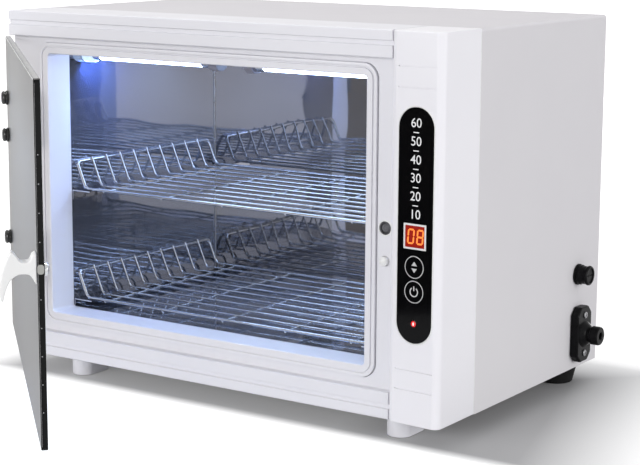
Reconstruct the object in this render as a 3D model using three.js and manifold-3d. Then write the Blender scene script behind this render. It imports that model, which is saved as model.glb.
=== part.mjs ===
// A bench-top ultraviolet sterilizer cabinet with a glass door, two wire racks and two lamps.
// Millimetres, +Z up. Inside the cabinet group X runs from the left side, Y from the front
// plane of the face backwards, and Z from the underside of the case upwards.
import * as THREE from 'three';
import { mergeVertices } from 'three/addons/utils/BufferGeometryUtils.js';
import Module from 'manifold-3d';

const wasm = await Module();
wasm.setup();

// Case
const CASE_WIDTH = 460;
const CASE_DEPTH = 284;
const CASE_HEIGHT = 316.5;
const SHEET = 1.2; // painted steel of the case
const SHEET_CORNER = 3;
const MOULDING = 2.5; // wall of the plastic mouldings
const FIT = 0.3; // gap between two pieces that seat on each other
const OVERRUN = 1; // how far a cutter passes beyond what it cuts
const REAR_SLOT_LENGTH = 50;
const REAR_SLOT_HEIGHT = 3;
const REAR_SLOT_PITCH = 9;
const REAR_SLOT_COUNT = 8;
const REAR_SLOT_MARGIN = 30;

// Moulded face around the chamber
const FACE_DEPTH = 54;
const BAND_HEIGHT = 22.75;
const RECESS_DEPTH = 7.5;
const GROOVE_HEIGHT = 4;
const GROOVE_DEPTH = 2;
const GROOVE_EDGE = 8.75; // from the top or bottom of the case to its groove
const FACE_TOP_CORNER = 3;
const FACE_BOTTOM_CORNER = 10;
const LEFT_STRIP = 42;
const RIGHT_STRIP = 27.5;
const HEAD_STRIP = 15.25;
const SILL_STRIP = 17.75;
const OPENING_CORNER = 3;
const BEAD_WIDTH = 10;
const BEAD_RISE = 2;
const BEAD_BEVEL = 1.2;
const JAMB_DEPTH = 34.75;

// Control column
const COLUMN_WIDTH = 49.5;
const COLUMN_STEP = 2; // how far its left edge stands in front of the face
const COLUMN_BULGE = 5; // how far its right end stands in front of the face
const COLUMN_CORNER = 7;
const COLUMN_LINE = 0.9;
const COLUMN_LINE_DEPTH = 0.5;
const COLUMN_LINE_MARGIN = 6;
const UPPER_LINE_DROP = 27.5;
const LOWER_LINE_RISE = 29;
const LINE_PAIR_GAP = 16.5;

// Control panel
const PANEL_WIDTH = 33;
const PANEL_HEIGHT = 189;
const PANEL_INSET = 25.5; // from the column's left edge to the panel's middle
const PANEL_TOP_MARGIN = 59;
const PANEL_POCKET = 0.8;
const PANEL_PROUD = 0.7;
const DISPLAY_WIDTH = 21.6;
const DISPLAY_HEIGHT = 20.5;
const DISPLAY_BAR = 1.4;
const DISPLAY_RISE = 86.5; // from the panel's lower end to the middle of the display
const DISPLAY_PROUD = 0.2;
const BUTTON_DIAMETER = 18.4;
const BUTTON_PITCH = 20;
const BUTTON_RISE = 62; // from the panel's lower end to the middle of the upper button
const BUTTON_PROUD = 0.2;
const BUTTON_BACK = 2.3;
const BUTTON_TRAVEL = 0.6;
const LIGHT_DIAMETER = 6;
const LIGHT_RISE = 16;
const LIGHT_PROUD = 0.3;
const BOARD_WIDTH = 30;
const BOARD_THICKNESS = 1.6;
const BOARD_HEIGHT_SHARE = 0.86; // of the panel's height
const BOARD_STANDOFF = 2; // from the inside of the column's wall
const BOARD_POST_DIAMETER = 5;
const BOARD_POST_INSET = 4;
const TACT_DIAMETER = 6;

// Chamber lining
const LINER = 1;
const REAR_SPACE = 31; // from the mirror at the back to the back of the case
const CEILING_RISE = 11.5; // from the opening's top edge to the ceiling

// Racks
const RACK_SIDE_GAP = 13; // from the chamber wall to the foot of the fence
const RACK_FRONT_GAP = 3;
const RACK_REAR_GAP = 13;
const UPPER_RACK_RISE = 112; // floor wires above the chamber floor
const LOWER_RACK_RISE = 9;
const FENCE_HEIGHT = 24;
const FENCE_LEAN = 10.5;
const FENCE_TIP = 2.5; // how far the thin wires pass above the rail
const FRAME_WIRE = 3;
const RACK_WIRE = 2.2;
const WELD = 0.5; // how deep two welded wires sink into each other
const WIRE_PITCH = 20;
const SUPPORT_COUNT = 5;
const SUPPORT_INSET = 21.5; // from the foot of the fence to the outer wires under the floor
const FRAME_BEND = 4;
const WIRE_BEND = 3;
const WIRE_SIDES = 5;
const FRAME_SIDES = 6;
const RAIL_SHEET = 1;
const RAIL_HEIGHT = 9;
const RAIL_SEAT = 8; // how far a ledge passes beyond the foot of the fence

// Ultraviolet lamps
const TUBE_DIAMETER = 16;
const TUBE_CAP = 9;
const TUBE_CAP_STEP = 0.4;
const TUBE_SETBACK = 25; // from the end of the jamb to the tubes' middle
const TUBE_HANG = 12.5; // from the ceiling to the tubes' middle
const HOLDER_THICKNESS = 10;
const HOLDER_WIDTH = 18;
const HOLDER_DROP = 10; // below the tubes' middle
const LAMP_GAP = 29; // between the two inner holders

// Door
const GLASS = 5;
const DOOR_END_GAP = 1.5; // from the glass to the column
const DOOR_EDGE_GAP = 1.2; // from the glass to each band
const DOOR_ANGLE = 43.6; // how far the door stands open, in degrees
const DOOR_STACK = 4.5; // from the glass to the floor of the recess
const PIVOT_INSET = 1.2; // from the left edge of the glass

// Hinges
const HINGE_HEIGHT = 50;
const HINGE_LOWER_INSET = 72.75; // from the lower band to the lower hinge's middle
const HINGE_UPPER_INSET = 71.25; // from the upper band to the upper hinge's middle
const KNUCKLE_DIAMETER = 3.9;
const HINGE_PIN = 1.8;
const PIN_HEAD = 3.4;
const PIN_HEAD_HEIGHT = 0.8;
const LEAF = 1.1;
const DOOR_LEAF_REACH = 40;
const FRAME_LEAF_REACH = 28;
const KNUCKLE_SHARE = 0.34; // of the hinge's height, for the middle knuckle
const NUT_INSET = 30; // from the left edge of the glass
const NUT_PITCH = 33.5;
const NUT_DIAMETER = 12.9;
const NUT_RISE = 6;
const NUT_RIM = 1.2;
const NUT_SHANK = 4;

// Handle and catch
const HANDLE_WIDTH = 15;
const HANDLE_REACH = 26;
const HANDLE_HALF = 12;
const CATCH_INSET = 9.5; // from the column's left edge
const CATCH_HEIGHT = 156.5;
const STRIKER_DIAMETER = 12;
const STRIKER_THICKNESS = 3.6;
const STRIKER_STEM = 4;
const STRIKER_STEM_LENGTH = 9.5;
const MAGNET_DIAMETER = 10.8;
const MAGNET_LENGTH = 9;
const MAGNET_PROUD = 0.3;

// Door switch
const PLUNGER_DROP = 27; // below the catch
const PLUNGER_DIAMETER = 8;
const PLUNGER_PROUD = 4.1;
const PLUNGER_LENGTH = 15;
const PLUNGER_TRAVEL = 3.5;
const SWITCH_WIDTH = 12.4;
const SWITCH_HEIGHT = 26;
const SWITCH_DEPTH = 20;

// Fuse holder
const FUSE_SETBACK = 43; // from the back of the case
const FUSE_HEIGHT = 86.5;
const FUSE_BODY = 12.6;
const FUSE_FLANGE = 19;
const FUSE_FLANGE_THICKNESS = 2;
const FUSE_BODY_LENGTH = 32;
const FUSE_BORE = 6.4;
const FUSE_DIAMETER = 5.4;
const FUSE_LENGTH = 20;
const FUSE_NUT = 20;
const FUSE_NUT_THICKNESS = 4;
const FUSE_CAP_DIAMETER = 18;
const FUSE_CAP_LENGTH = 10.5;
const FUSE_CAP_ROUND = 1.5;
const FUSE_CAP_WAIST = 0.8;

// Mains inlet block
const INLET_SETBACK = 41.25; // from the back of the case
const INLET_HEIGHT = 32;
const INLET_LENGTH = 50.7;
const INLET_WIDTH = 27;
const INLET_THICKNESS = 8;
const INLET_BEVEL = 1;
const INLET_SCREW_PITCH = 35;
const SCREW_SHANK = 3;
const SCREW_HEAD = 6;
const SCREW_HEAD_RISE = 1.2;
const SCREW_TAIL = 6;
const GLAND_DIAMETER = 17;
const GLAND_NECK = 13;
const GLAND_LENGTH = 15.5;
const GLAND_RING = 4.5;
const GLAND_BORE = 6.5;

// Ballast
const BALLAST_WIDTH = 40;
const BALLAST_HEIGHT = 28;
const BALLAST_FRONT_GAP = 30; // from the face
const BALLAST_REAR_GAP = 50; // from the back of the case

// Feet
const FOOT_HEIGHT = 18;
const FRONT_FOOT_WIDTH = 22;
const FRONT_FOOT_LENGTH = 40;
const FRONT_FOOT_SETBACK = 11;
const LEFT_FOOT_X = 65;
const RIGHT_FOOT_INSET = 51; // from the right side of the case
const REAR_FOOT_TOP = 34;
const REAR_FOOT_BOTTOM = 24;
const REAR_FOOT_INSET = 25;
const REAR_FOOT_SETBACK = 31; // from the back of the case

// Places that follow from the sizes above
const columnLeft = CASE_WIDTH - COLUMN_WIDTH;
const faceRight = columnLeft - FIT;
const openLeft = LEFT_STRIP;
const openRight = columnLeft - RIGHT_STRIP;
const openBottom = BAND_HEIGHT + SILL_STRIP;
const openTop = CASE_HEIGHT - BAND_HEIGHT - HEAD_STRIP;
const bandTop = CASE_HEIGHT - BAND_HEIGHT;
const mirrorFront = CASE_DEPTH - REAR_SPACE;
const linerFront = JAMB_DEPTH + FIT;
const ceiling = openTop + CEILING_RISE;
const catchX = columnLeft - CATCH_INSET;
const plungerHeight = CATCH_HEIGHT - PLUNGER_DROP;
const fuseY = CASE_DEPTH - FUSE_SETBACK;
const inletY = CASE_DEPTH - INLET_SETBACK;

// Colours and finishes
const finish = (colour, roughness, metalness = 0) => (
  new THREE.MeshStandardMaterial({ color: colour, roughness, metalness })
);
const WHITE_PLASTIC = () => finish(0xe6e6ee, 0.35);
const WHITE_PAINT = () => finish(0xd9d9de, 0.45);
const MIRROR_STEEL = () => finish(0x9a9ca6, 0.12, 1);
const CHROME_WIRE = () => finish(0xc8ccd4, 0.15, 1);
const SMOKED_GLASS = () => finish(0x1b1d20, 0.08);
const BLACK_PLASTIC = () => finish(0x0c0c0d, 0.4);
const BLACK_RUBBER = () => finish(0x141414, 0.8);
const HANDLE_PLASTIC = () => finish(0xf0f0ee, 0.3);
const STEEL = () => finish(0xb9bcc2, 0.3, 1);
const MAGNET_GREY = () => finish(0x4a4c50, 0.5, 0.5);
const LAMP_GLASS = () => finish(0xdfe8ff, 0.2);
const RED_LENS = () => finish(0xd02010, 0.3);
const BOARD_GREEN = () => finish(0x1f5a34, 0.6);

// Booleans on closed meshes
function solid(geometry) {
  const bare = geometry.clone();
  bare.deleteAttribute('normal');
  bare.deleteAttribute('uv');
  const merged = mergeVertices(bare);
  return new wasm.Manifold(new wasm.Mesh({
    numProp: 3,
    vertProperties: new Float32Array(merged.attributes.position.array),
    triVerts: new Uint32Array(merged.index.array),
  }));
}

function fromSolid(manifold) {
  const mesh = manifold.getMesh();
  const geometry = new THREE.BufferGeometry();
  geometry.setAttribute('position', new THREE.BufferAttribute(mesh.vertProperties, mesh.numProp));
  geometry.setIndex(new THREE.BufferAttribute(mesh.triVerts, 1));
  geometry.computeVertexNormals();
  return geometry;
}

function cut(geometry, cutters) {
  const rest = cutters.reduce((left, cutter) => left.subtract(solid(cutter)), solid(geometry));
  return fromSolid(rest);
}

function join(geometries) {
  return fromSolid(geometries.map(solid).reduce((whole, next) => whole.add(next)));
}

// Basic forms, placed by the planes that bound them
function block([x0, x1], [y0, y1], [z0, z1]) {
  const geometry = new THREE.BoxGeometry(x1 - x0, y1 - y0, z1 - z0);
  return geometry.translate((x0 + x1) / 2, (y0 + y1) / 2, (z0 + z1) / 2);
}

function extrude(shape, depth, bevel = 0, curveSegments = 5) {
  return new THREE.ExtrudeGeometry(shape, {
    depth,
    curveSegments,
    bevelEnabled: bevel > 0,
    bevelSize: bevel,
    bevelThickness: bevel,
    bevelOffset: -bevel,
    bevelSegments: 1,
  });
}

// A shape drawn in X and Z, between two planes of Y
function slabAlongY(shape, y0, y1) {
  return extrude(shape, y1 - y0).rotateX(Math.PI / 2).translate(0, y1, 0);
}

// A shape drawn in Y and Z, between two planes of X, with its far edge bevelled if asked
function slabAlongX(shape, x0, x1, bevel = 0) {
  const turn = new THREE.Matrix4().makeBasis(
    new THREE.Vector3(0, 1, 0),
    new THREE.Vector3(0, 0, 1),
    new THREE.Vector3(1, 0, 0),
  );
  const geometry = extrude(shape, x1 - x0 - 2 * bevel, bevel);
  return geometry.translate(0, 0, x0 + bevel).applyMatrix4(turn);
}

function slabAlongZ(shape, z0, z1, bevel = 0) {
  return extrude(shape, z1 - z0 - 2 * bevel, bevel).translate(0, 0, z0 + bevel);
}

function rodAlongY(diameter, x, z, [y0, y1], sides = 20) {
  const geometry = new THREE.CylinderGeometry(diameter / 2, diameter / 2, y1 - y0, sides);
  return geometry.translate(x, (y0 + y1) / 2, z);
}

function rodAlongX(diameter, y, z, [x0, x1], sides = 20) {
  const geometry = new THREE.CylinderGeometry(diameter / 2, diameter / 2, x1 - x0, sides);
  return geometry.rotateZ(-Math.PI / 2).translate((x0 + x1) / 2, y, z);
}

function rodAlongZ(diameter, x, y, [z0, z1], sides = 20) {
  const geometry = new THREE.CylinderGeometry(diameter / 2, diameter / 2, z1 - z0, sides);
  return geometry.rotateX(Math.PI / 2).translate(x, y, (z0 + z1) / 2);
}

function roundedRectangle([x0, x1], [y0, y1], radius) {
  const shape = new THREE.Shape();
  shape.moveTo(x0 + radius, y0);
  shape.lineTo(x1 - radius, y0);
  shape.absarc(x1 - radius, y0 + radius, radius, -Math.PI / 2, 0);
  shape.lineTo(x1, y1 - radius);
  shape.absarc(x1 - radius, y1 - radius, radius, 0, Math.PI / 2);
  shape.lineTo(x0 + radius, y1);
  shape.absarc(x0 + radius, y1 - radius, radius, Math.PI / 2, Math.PI);
  shape.lineTo(x0, y0 + radius);
  shape.absarc(x0 + radius, y0 + radius, radius, Math.PI, 1.5 * Math.PI);
  return shape;
}

// A round form whose profile lists its radius and its place along X
function turnedAlongX(profile, y, z, sides = 20) {
  const points = profile.map(([radius, along]) => new THREE.Vector2(radius, along));
  return new THREE.LatheGeometry(points, sides).rotateZ(-Math.PI / 2).translate(0, y, z);
}

function turnedAlongY(profile, x, z, sides = 20) {
  const points = profile.map(([radius, along]) => new THREE.Vector2(radius, along));
  return new THREE.LatheGeometry(points, sides).translate(x, 0, z);
}

function turnedAlongZ(profile, x, y, sides = 20) {
  const points = profile.map(([radius, along]) => new THREE.Vector2(radius, along));
  return new THREE.LatheGeometry(points, sides).rotateX(Math.PI / 2).translate(x, y, 0);
}

function addPiece(group, name, geometry, material) {
  const mesh = new THREE.Mesh(geometry, material);
  mesh.name = name;
  group.add(mesh);
  return mesh;
}

const sterilizer = new THREE.Group();
const cabinet = new THREE.Group();
cabinet.position.set(-CASE_WIDTH / 2, -CASE_DEPTH / 2, 0);
sterilizer.add(cabinet);

// Face moulding: two bands, the recess for the door, the bead and the jamb
function faceOutline() {
  const shape = new THREE.Shape();
  const low = FACE_BOTTOM_CORNER;
  const high = FACE_TOP_CORNER;
  shape.moveTo(low, 0);
  shape.lineTo(faceRight, 0);
  shape.lineTo(faceRight, CASE_HEIGHT);
  shape.lineTo(high, CASE_HEIGHT);
  shape.absarc(high, CASE_HEIGHT - high, high, Math.PI / 2, Math.PI);
  shape.lineTo(0, low);
  shape.absarc(low, low, low, Math.PI, 1.5 * Math.PI);
  return shape;
}

function grooveCutter(height) {
  return block(
    [-OVERRUN, faceRight + OVERRUN],
    [-OVERRUN, GROOVE_DEPTH],
    [height, height + GROOVE_HEIGHT],
  );
}

function bandHollow(low) {
  const hollowLeft = Math.max(MOULDING, FACE_BOTTOM_CORNER);
  return block(
    [hollowLeft, faceRight - MOULDING],
    [GROOVE_DEPTH + MOULDING, RECESS_DEPTH + MOULDING + OVERRUN],
    [low + MOULDING, low + BAND_HEIGHT - MOULDING],
  );
}

function makeFace() {
  const across = [-OVERRUN, faceRight + OVERRUN];
  const recess = block(across, [-OVERRUN, RECESS_DEPTH], [BAND_HEIGHT, bandTop]);
  const hollow = block(
    [MOULDING, faceRight - MOULDING],
    [RECESS_DEPTH + MOULDING, FACE_DEPTH + OVERRUN],
    [MOULDING, CASE_HEIGHT - MOULDING],
  );
  const hollowCorner = block(
    [0, FACE_BOTTOM_CORNER],
    [RECESS_DEPTH + MOULDING - OVERRUN, FACE_DEPTH + 2 * OVERRUN],
    [0, FACE_BOTTOM_CORNER],
  );
  const shell = cut(
    slabAlongY(faceOutline(), 0, FACE_DEPTH),
    [recess, cut(hollow, [hollowCorner]), bandHollow(0), bandHollow(bandTop)],
  );
  const jamb = block(
    [openLeft - MOULDING, openRight + MOULDING],
    [RECESS_DEPTH + MOULDING / 2, JAMB_DEPTH],
    [openBottom - MOULDING, openTop + MOULDING],
  );
  const beadOutline = roundedRectangle(
    [openLeft - BEAD_WIDTH, openRight + BEAD_WIDTH],
    [openBottom - BEAD_WIDTH, openTop + BEAD_WIDTH],
    BEAD_WIDTH + OPENING_CORNER,
  );
  const beadDepth = BEAD_RISE + MOULDING / 2;
  const bead = extrude(beadOutline, beadDepth - 2 * BEAD_BEVEL, BEAD_BEVEL)
    .translate(0, 0, BEAD_BEVEL)
    .rotateX(Math.PI / 2)
    .translate(0, RECESS_DEPTH + MOULDING / 2, 0);
  const opening = slabAlongY(
    roundedRectangle([openLeft, openRight], [openBottom, openTop], OPENING_CORNER),
    -OVERRUN,
    JAMB_DEPTH + OVERRUN,
  );
  const wall = [RECESS_DEPTH - OVERRUN, RECESS_DEPTH + MOULDING + OVERRUN];
  return cut(join([shell, jamb, bead]), [
    opening,
    grooveCutter(GROOVE_EDGE),
    grooveCutter(CASE_HEIGHT - GROOVE_EDGE - GROOVE_HEIGHT),
    rodAlongY(MAGNET_DIAMETER + 2 * FIT, catchX, CATCH_HEIGHT, wall),
    rodAlongY(PLUNGER_DIAMETER + 2 * FIT, catchX, plungerHeight, wall),
  ]);
}

addPiece(cabinet, 'face_moulding', makeFace(), WHITE_PLASTIC());

// Control column: a shell whose front leans forwards to the right, and its panel pocket
const slopeRun = COLUMN_WIDTH - COLUMN_CORNER;
const slopeRise = COLUMN_BULGE - COLUMN_STEP;
const panelAngle = Math.atan2(slopeRise, slopeRun);
const panelTop = CASE_HEIGHT - PANEL_TOP_MARGIN;
const panelMiddle = panelTop - PANEL_HEIGHT / 2;
const panelPlace = new THREE.Vector3(
  columnLeft + PANEL_INSET,
  -COLUMN_STEP - PANEL_INSET * Math.tan(panelAngle),
  panelMiddle,
);
const panelMatrix = new THREE.Matrix4()
  .makeRotationZ(-panelAngle)
  .setPosition(panelPlace);

const displayHeight = DISPLAY_RISE - PANEL_HEIGHT / 2;
const selectHeight = BUTTON_RISE - PANEL_HEIGHT / 2;
const powerHeight = selectHeight - BUTTON_PITCH;
const lightHeight = LIGHT_RISE - PANEL_HEIGHT / 2;

function stadium(width, height) {
  return roundedRectangle([-width / 2, width / 2], [-height / 2, height / 2], width / 2);
}

function panelRod(diameter, height, depths, sides) {
  return rodAlongY(diameter, 0, height, depths, sides);
}

function panelPlate(width, height, middle, depths) {
  return block([-width / 2, width / 2], depths, [middle - height / 2, middle + height / 2]);
}

function columnOutline(wall, rear) {
  const left = columnLeft + wall;
  const right = CASE_WIDTH - wall;
  const slope = Math.tan(panelAngle);
  const leftFront = -COLUMN_STEP - wall * slope + wall;
  const corner = COLUMN_CORNER - wall;
  const rightFront = -COLUMN_BULGE + wall;
  const shape = new THREE.Shape();
  shape.moveTo(left, rear);
  shape.lineTo(left, leftFront);
  shape.lineTo(CASE_WIDTH - COLUMN_CORNER, rightFront);
  shape.absarc(CASE_WIDTH - COLUMN_CORNER, rightFront + corner, corner, -Math.PI / 2, 0);
  shape.lineTo(right, rear);
  return shape;
}

function columnLineCutter(height) {
  const half = slopeRun / 2 - COLUMN_LINE_MARGIN / 2;
  const middle = height - panelMiddle;
  return panelPlate(2 * half, COLUMN_LINE, middle, [-OVERRUN, COLUMN_LINE_DEPTH]);
}

function boardPostPlaces() {
  const halfWidth = BOARD_WIDTH / 2 - BOARD_POST_INSET;
  const halfHeight = (PANEL_HEIGHT * BOARD_HEIGHT_SHARE) / 2 - BOARD_POST_INSET;
  return [-1, 1].flatMap((sx) => [-1, 1].map((sz) => [sx * halfWidth, sz * halfHeight]));
}

const boardFront = MOULDING + BOARD_STANDOFF;

function makeColumn() {
  const outer = slabAlongZ(columnOutline(0, FACE_DEPTH), 0, CASE_HEIGHT);
  const inner = slabAlongZ(
    columnOutline(MOULDING, FACE_DEPTH + OVERRUN),
    MOULDING,
    CASE_HEIGHT - MOULDING,
  );
  const posts = boardPostPlaces().map(([x, z]) => (
    rodAlongY(BOARD_POST_DIAMETER, x, z, [MOULDING - OVERRUN, boardFront - FIT], 12)
      .applyMatrix4(panelMatrix)
  ));
  const through = [-OVERRUN, MOULDING + OVERRUN];
  const pocket = slabAlongY(
    stadium(PANEL_WIDTH + 2 * FIT, PANEL_HEIGHT + 2 * FIT),
    -OVERRUN,
    PANEL_POCKET,
  );
  const cutters = [
    pocket,
    panelPlate(DISPLAY_WIDTH + 2 * FIT, DISPLAY_HEIGHT + 2 * FIT, displayHeight, through),
    panelRod(BUTTON_DIAMETER + 2 * FIT, selectHeight, through),
    panelRod(BUTTON_DIAMETER + 2 * FIT, powerHeight, through),
    panelRod(LIGHT_DIAMETER + 2 * FIT, lightHeight, through),
    columnLineCutter(CASE_HEIGHT - UPPER_LINE_DROP),
    columnLineCutter(CASE_HEIGHT - UPPER_LINE_DROP - LINE_PAIR_GAP),
    columnLineCutter(LOWER_LINE_RISE),
    columnLineCutter(LOWER_LINE_RISE + LINE_PAIR_GAP),
  ].map((cutter) => cutter.applyMatrix4(panelMatrix));
  return cut(join([cut(outer, [inner]), ...posts]), cutters);
}

addPiece(cabinet, 'control_column', makeColumn(), WHITE_PLASTIC());

// Pieces of the control panel, in a frame on the column's front
const panel = new THREE.Group();
panel.position.copy(panelPlace);
panel.rotation.z = -panelAngle;
cabinet.add(panel);

function makeOverlay() {
  const plate = slabAlongY(
    stadium(PANEL_WIDTH, PANEL_HEIGHT),
    -PANEL_PROUD,
    PANEL_POCKET - FIT,
  );
  const through = [-PANEL_PROUD - OVERRUN, PANEL_POCKET + OVERRUN];
  return cut(plate, [
    panelPlate(DISPLAY_WIDTH + 2 * FIT, DISPLAY_HEIGHT + 2 * FIT, displayHeight, through),
    panelRod(BUTTON_DIAMETER + 2 * FIT, selectHeight, through),
    panelRod(BUTTON_DIAMETER + 2 * FIT, powerHeight, through),
    panelRod(LIGHT_DIAMETER + 2 * FIT, lightHeight, through),
  ]);
}

function makeDisplayFrame() {
  const depths = [-PANEL_PROUD - DISPLAY_PROUD, MOULDING];
  const through = [depths[0] - OVERRUN, depths[1] + OVERRUN];
  const outer = panelPlate(DISPLAY_WIDTH, DISPLAY_HEIGHT, displayHeight, depths);
  const inner = panelPlate(
    DISPLAY_WIDTH - 2 * DISPLAY_BAR,
    DISPLAY_HEIGHT - 2 * DISPLAY_BAR,
    displayHeight,
    through,
  );
  return cut(outer, [inner]);
}

function makeDisplayWindow() {
  const inset = 2 * (DISPLAY_BAR + FIT);
  return panelPlate(
    DISPLAY_WIDTH - inset,
    DISPLAY_HEIGHT - inset,
    displayHeight,
    [-PANEL_PROUD, boardFront - FIT],
  );
}

function makeButton(height) {
  return panelRod(BUTTON_DIAMETER, height, [-PANEL_PROUD - BUTTON_PROUD, BUTTON_BACK], 28);
}

function makeBoard() {
  const plate = panelPlate(
    BOARD_WIDTH,
    PANEL_HEIGHT * BOARD_HEIGHT_SHARE,
    0,
    [boardFront, boardFront + BOARD_THICKNESS],
  );
  const tactTop = BUTTON_BACK + BUTTON_TRAVEL + FIT;
  const tact = (height) => (
    panelRod(TACT_DIAMETER, height, [tactTop, boardFront + BOARD_THICKNESS / 2], 12)
  );
  return join([plate, tact(selectHeight), tact(powerHeight)]);
}

addPiece(panel, 'panel_overlay', makeOverlay(), BLACK_PLASTIC());
addPiece(panel, 'display_frame', makeDisplayFrame(), WHITE_PLASTIC());
addPiece(panel, 'display_window', makeDisplayWindow(), RED_LENS());
addPiece(panel, 'select_button', makeButton(selectHeight), BLACK_PLASTIC());
addPiece(panel, 'power_button', makeButton(powerHeight), BLACK_PLASTIC());
const lightDepths = [-PANEL_PROUD - LIGHT_PROUD, boardFront - FIT];
addPiece(panel, 'power_light', panelRod(LIGHT_DIAMETER, lightHeight, lightDepths, 20), RED_LENS());
addPiece(panel, 'control_board', makeBoard(), BOARD_GREEN());

// Steel case: a folded wrap, the rear panel and the base panel
const fuseHole = FUSE_BODY + 2 * FIT;
const screwHole = SCREW_SHANK + 2 * FIT;
const inletScrewHeights = [-1, 1].map((side) => INLET_HEIGHT + (side * INLET_SCREW_PITCH) / 2);

function wrapOutline() {
  const shape = new THREE.Shape();
  const corner = SHEET_CORNER;
  const inner = SHEET_CORNER - SHEET;
  const high = CASE_HEIGHT - SHEET;
  shape.moveTo(0, 0);
  shape.lineTo(SHEET, 0);
  shape.lineTo(SHEET, high - inner);
  shape.absarc(SHEET + inner, high - inner, inner, Math.PI, Math.PI / 2, true);
  shape.lineTo(CASE_WIDTH - SHEET - inner, high);
  shape.absarc(CASE_WIDTH - SHEET - inner, high - inner, inner, Math.PI / 2, 0, true);
  shape.lineTo(CASE_WIDTH - SHEET, 0);
  shape.lineTo(CASE_WIDTH, 0);
  shape.lineTo(CASE_WIDTH, CASE_HEIGHT - corner);
  shape.absarc(CASE_WIDTH - corner, CASE_HEIGHT - corner, corner, 0, Math.PI / 2);
  shape.lineTo(corner, CASE_HEIGHT);
  shape.absarc(corner, CASE_HEIGHT - corner, corner, Math.PI / 2, Math.PI);
  return shape;
}

function makeWrap() {
  const side = [CASE_WIDTH - SHEET - OVERRUN, CASE_WIDTH + OVERRUN];
  const wrap = slabAlongY(wrapOutline(), FACE_DEPTH + FIT, CASE_DEPTH);
  return cut(wrap, [
    rodAlongX(fuseHole, fuseY, FUSE_HEIGHT, side),
    rodAlongX(GLAND_NECK + 2 * FIT, inletY, INLET_HEIGHT, side),
    ...inletScrewHeights.map((height) => rodAlongX(screwHole, inletY, height, side, 12)),
  ]);
}

function makeRearPanel() {
  const panelBlock = block(
    [SHEET + FIT, CASE_WIDTH - SHEET - FIT],
    [CASE_DEPTH - SHEET, CASE_DEPTH],
    [0, CASE_HEIGHT - SHEET_CORNER - FIT],
  );
  const through = [CASE_DEPTH - SHEET - OVERRUN, CASE_DEPTH + OVERRUN];
  const slots = [];
  for (let row = 0; row < REAR_SLOT_COUNT; row += 1) {
    const low = CASE_HEIGHT - REAR_SLOT_MARGIN - row * REAR_SLOT_PITCH - REAR_SLOT_HEIGHT;
    const heights = [low, low + REAR_SLOT_HEIGHT];
    const right = CASE_WIDTH - REAR_SLOT_MARGIN;
    slots.push(block([REAR_SLOT_MARGIN, REAR_SLOT_MARGIN + REAR_SLOT_LENGTH], through, heights));
    slots.push(block([right - REAR_SLOT_LENGTH, right], through, heights));
  }
  return cut(panelBlock, slots);
}

function makeBasePanel() {
  return block(
    [SHEET + FIT, CASE_WIDTH - SHEET - FIT],
    [FACE_DEPTH + FIT, CASE_DEPTH - SHEET - FIT],
    [0, SHEET],
  );
}

addPiece(cabinet, 'case_wrap', makeWrap(), WHITE_PAINT());
addPiece(cabinet, 'rear_panel', makeRearPanel(), WHITE_PAINT());
addPiece(cabinet, 'base_panel', makeBasePanel(), WHITE_PAINT());

// Mirror-steel lining of the chamber
const linerDepths = [linerFront, mirrorFront];
const linerHeights = [openBottom - LINER, ceiling + LINER];
const betweenWalls = [openLeft + FIT, openRight - FIT];

function makeCeiling() {
  const sheet = block(betweenWalls, linerDepths, [ceiling, ceiling + LINER]);
  const lip = block(betweenWalls, [linerFront, linerFront + LINER], [openTop, ceiling + LINER / 2]);
  return join([sheet, lip]);
}

function makeBackMirror() {
  return block(
    [openLeft - LINER, openRight + LINER],
    [mirrorFront + FIT, mirrorFront + FIT + LINER],
    linerHeights,
  );
}

const leftWall = block([openLeft - LINER, openLeft], linerDepths, linerHeights);
const rightWall = block([openRight, openRight + LINER], linerDepths, linerHeights);
const floorSheet = block(betweenWalls, linerDepths, [openBottom - LINER, openBottom]);
addPiece(cabinet, 'chamber_left_wall', leftWall, MIRROR_STEEL());
addPiece(cabinet, 'chamber_right_wall', rightWall, MIRROR_STEEL());
addPiece(cabinet, 'chamber_back_mirror', makeBackMirror(), MIRROR_STEEL());
addPiece(cabinet, 'chamber_floor', floorSheet, MIRROR_STEEL());
addPiece(cabinet, 'chamber_ceiling', makeCeiling(), MIRROR_STEEL());

// Wire racks. A path that keeps its own knots, so that straight runs take one step each.
class KnotPath extends THREE.Curve {
  constructor(knots) {
    super();
    this.knots = knots;
  }

  getPoint(t, target = new THREE.Vector3()) {
    const place = t * (this.knots.length - 1);
    const index = Math.min(Math.floor(place), this.knots.length - 2);
    return target.copy(this.knots[index]).lerp(this.knots[index + 1], place - index);
  }

  getPointAt(u, target) {
    return this.getPoint(u, target);
  }

  getTangentAt(u, target = new THREE.Vector3()) {
    const index = Math.round(u * (this.knots.length - 1));
    const before = this.knots[Math.max(index - 1, 0)];
    const after = this.knots[Math.min(index + 1, this.knots.length - 1)];
    const here = this.knots[index];
    const arriving = here.clone().sub(before).normalize();
    const leaving = after.clone().sub(here).normalize();
    return target.copy(arriving).add(leaving).normalize();
  }
}

// The corners of a bent wire, each turned into a few knots on a curve
function bendKnots(corners, radius, steps) {
  const knots = [corners[0]];
  for (let i = 1; i < corners.length - 1; i += 1) {
    const toBefore = corners[i - 1].clone().sub(corners[i]);
    const toAfter = corners[i + 1].clone().sub(corners[i]);
    const start = corners[i].clone().add(toBefore.setLength(radius));
    const end = corners[i].clone().add(toAfter.setLength(radius));
    const arc = new THREE.QuadraticBezierCurve3(start, corners[i], end);
    knots.push(...arc.getPoints(steps));
  }
  knots.push(corners[corners.length - 1]);
  return knots;
}

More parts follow.
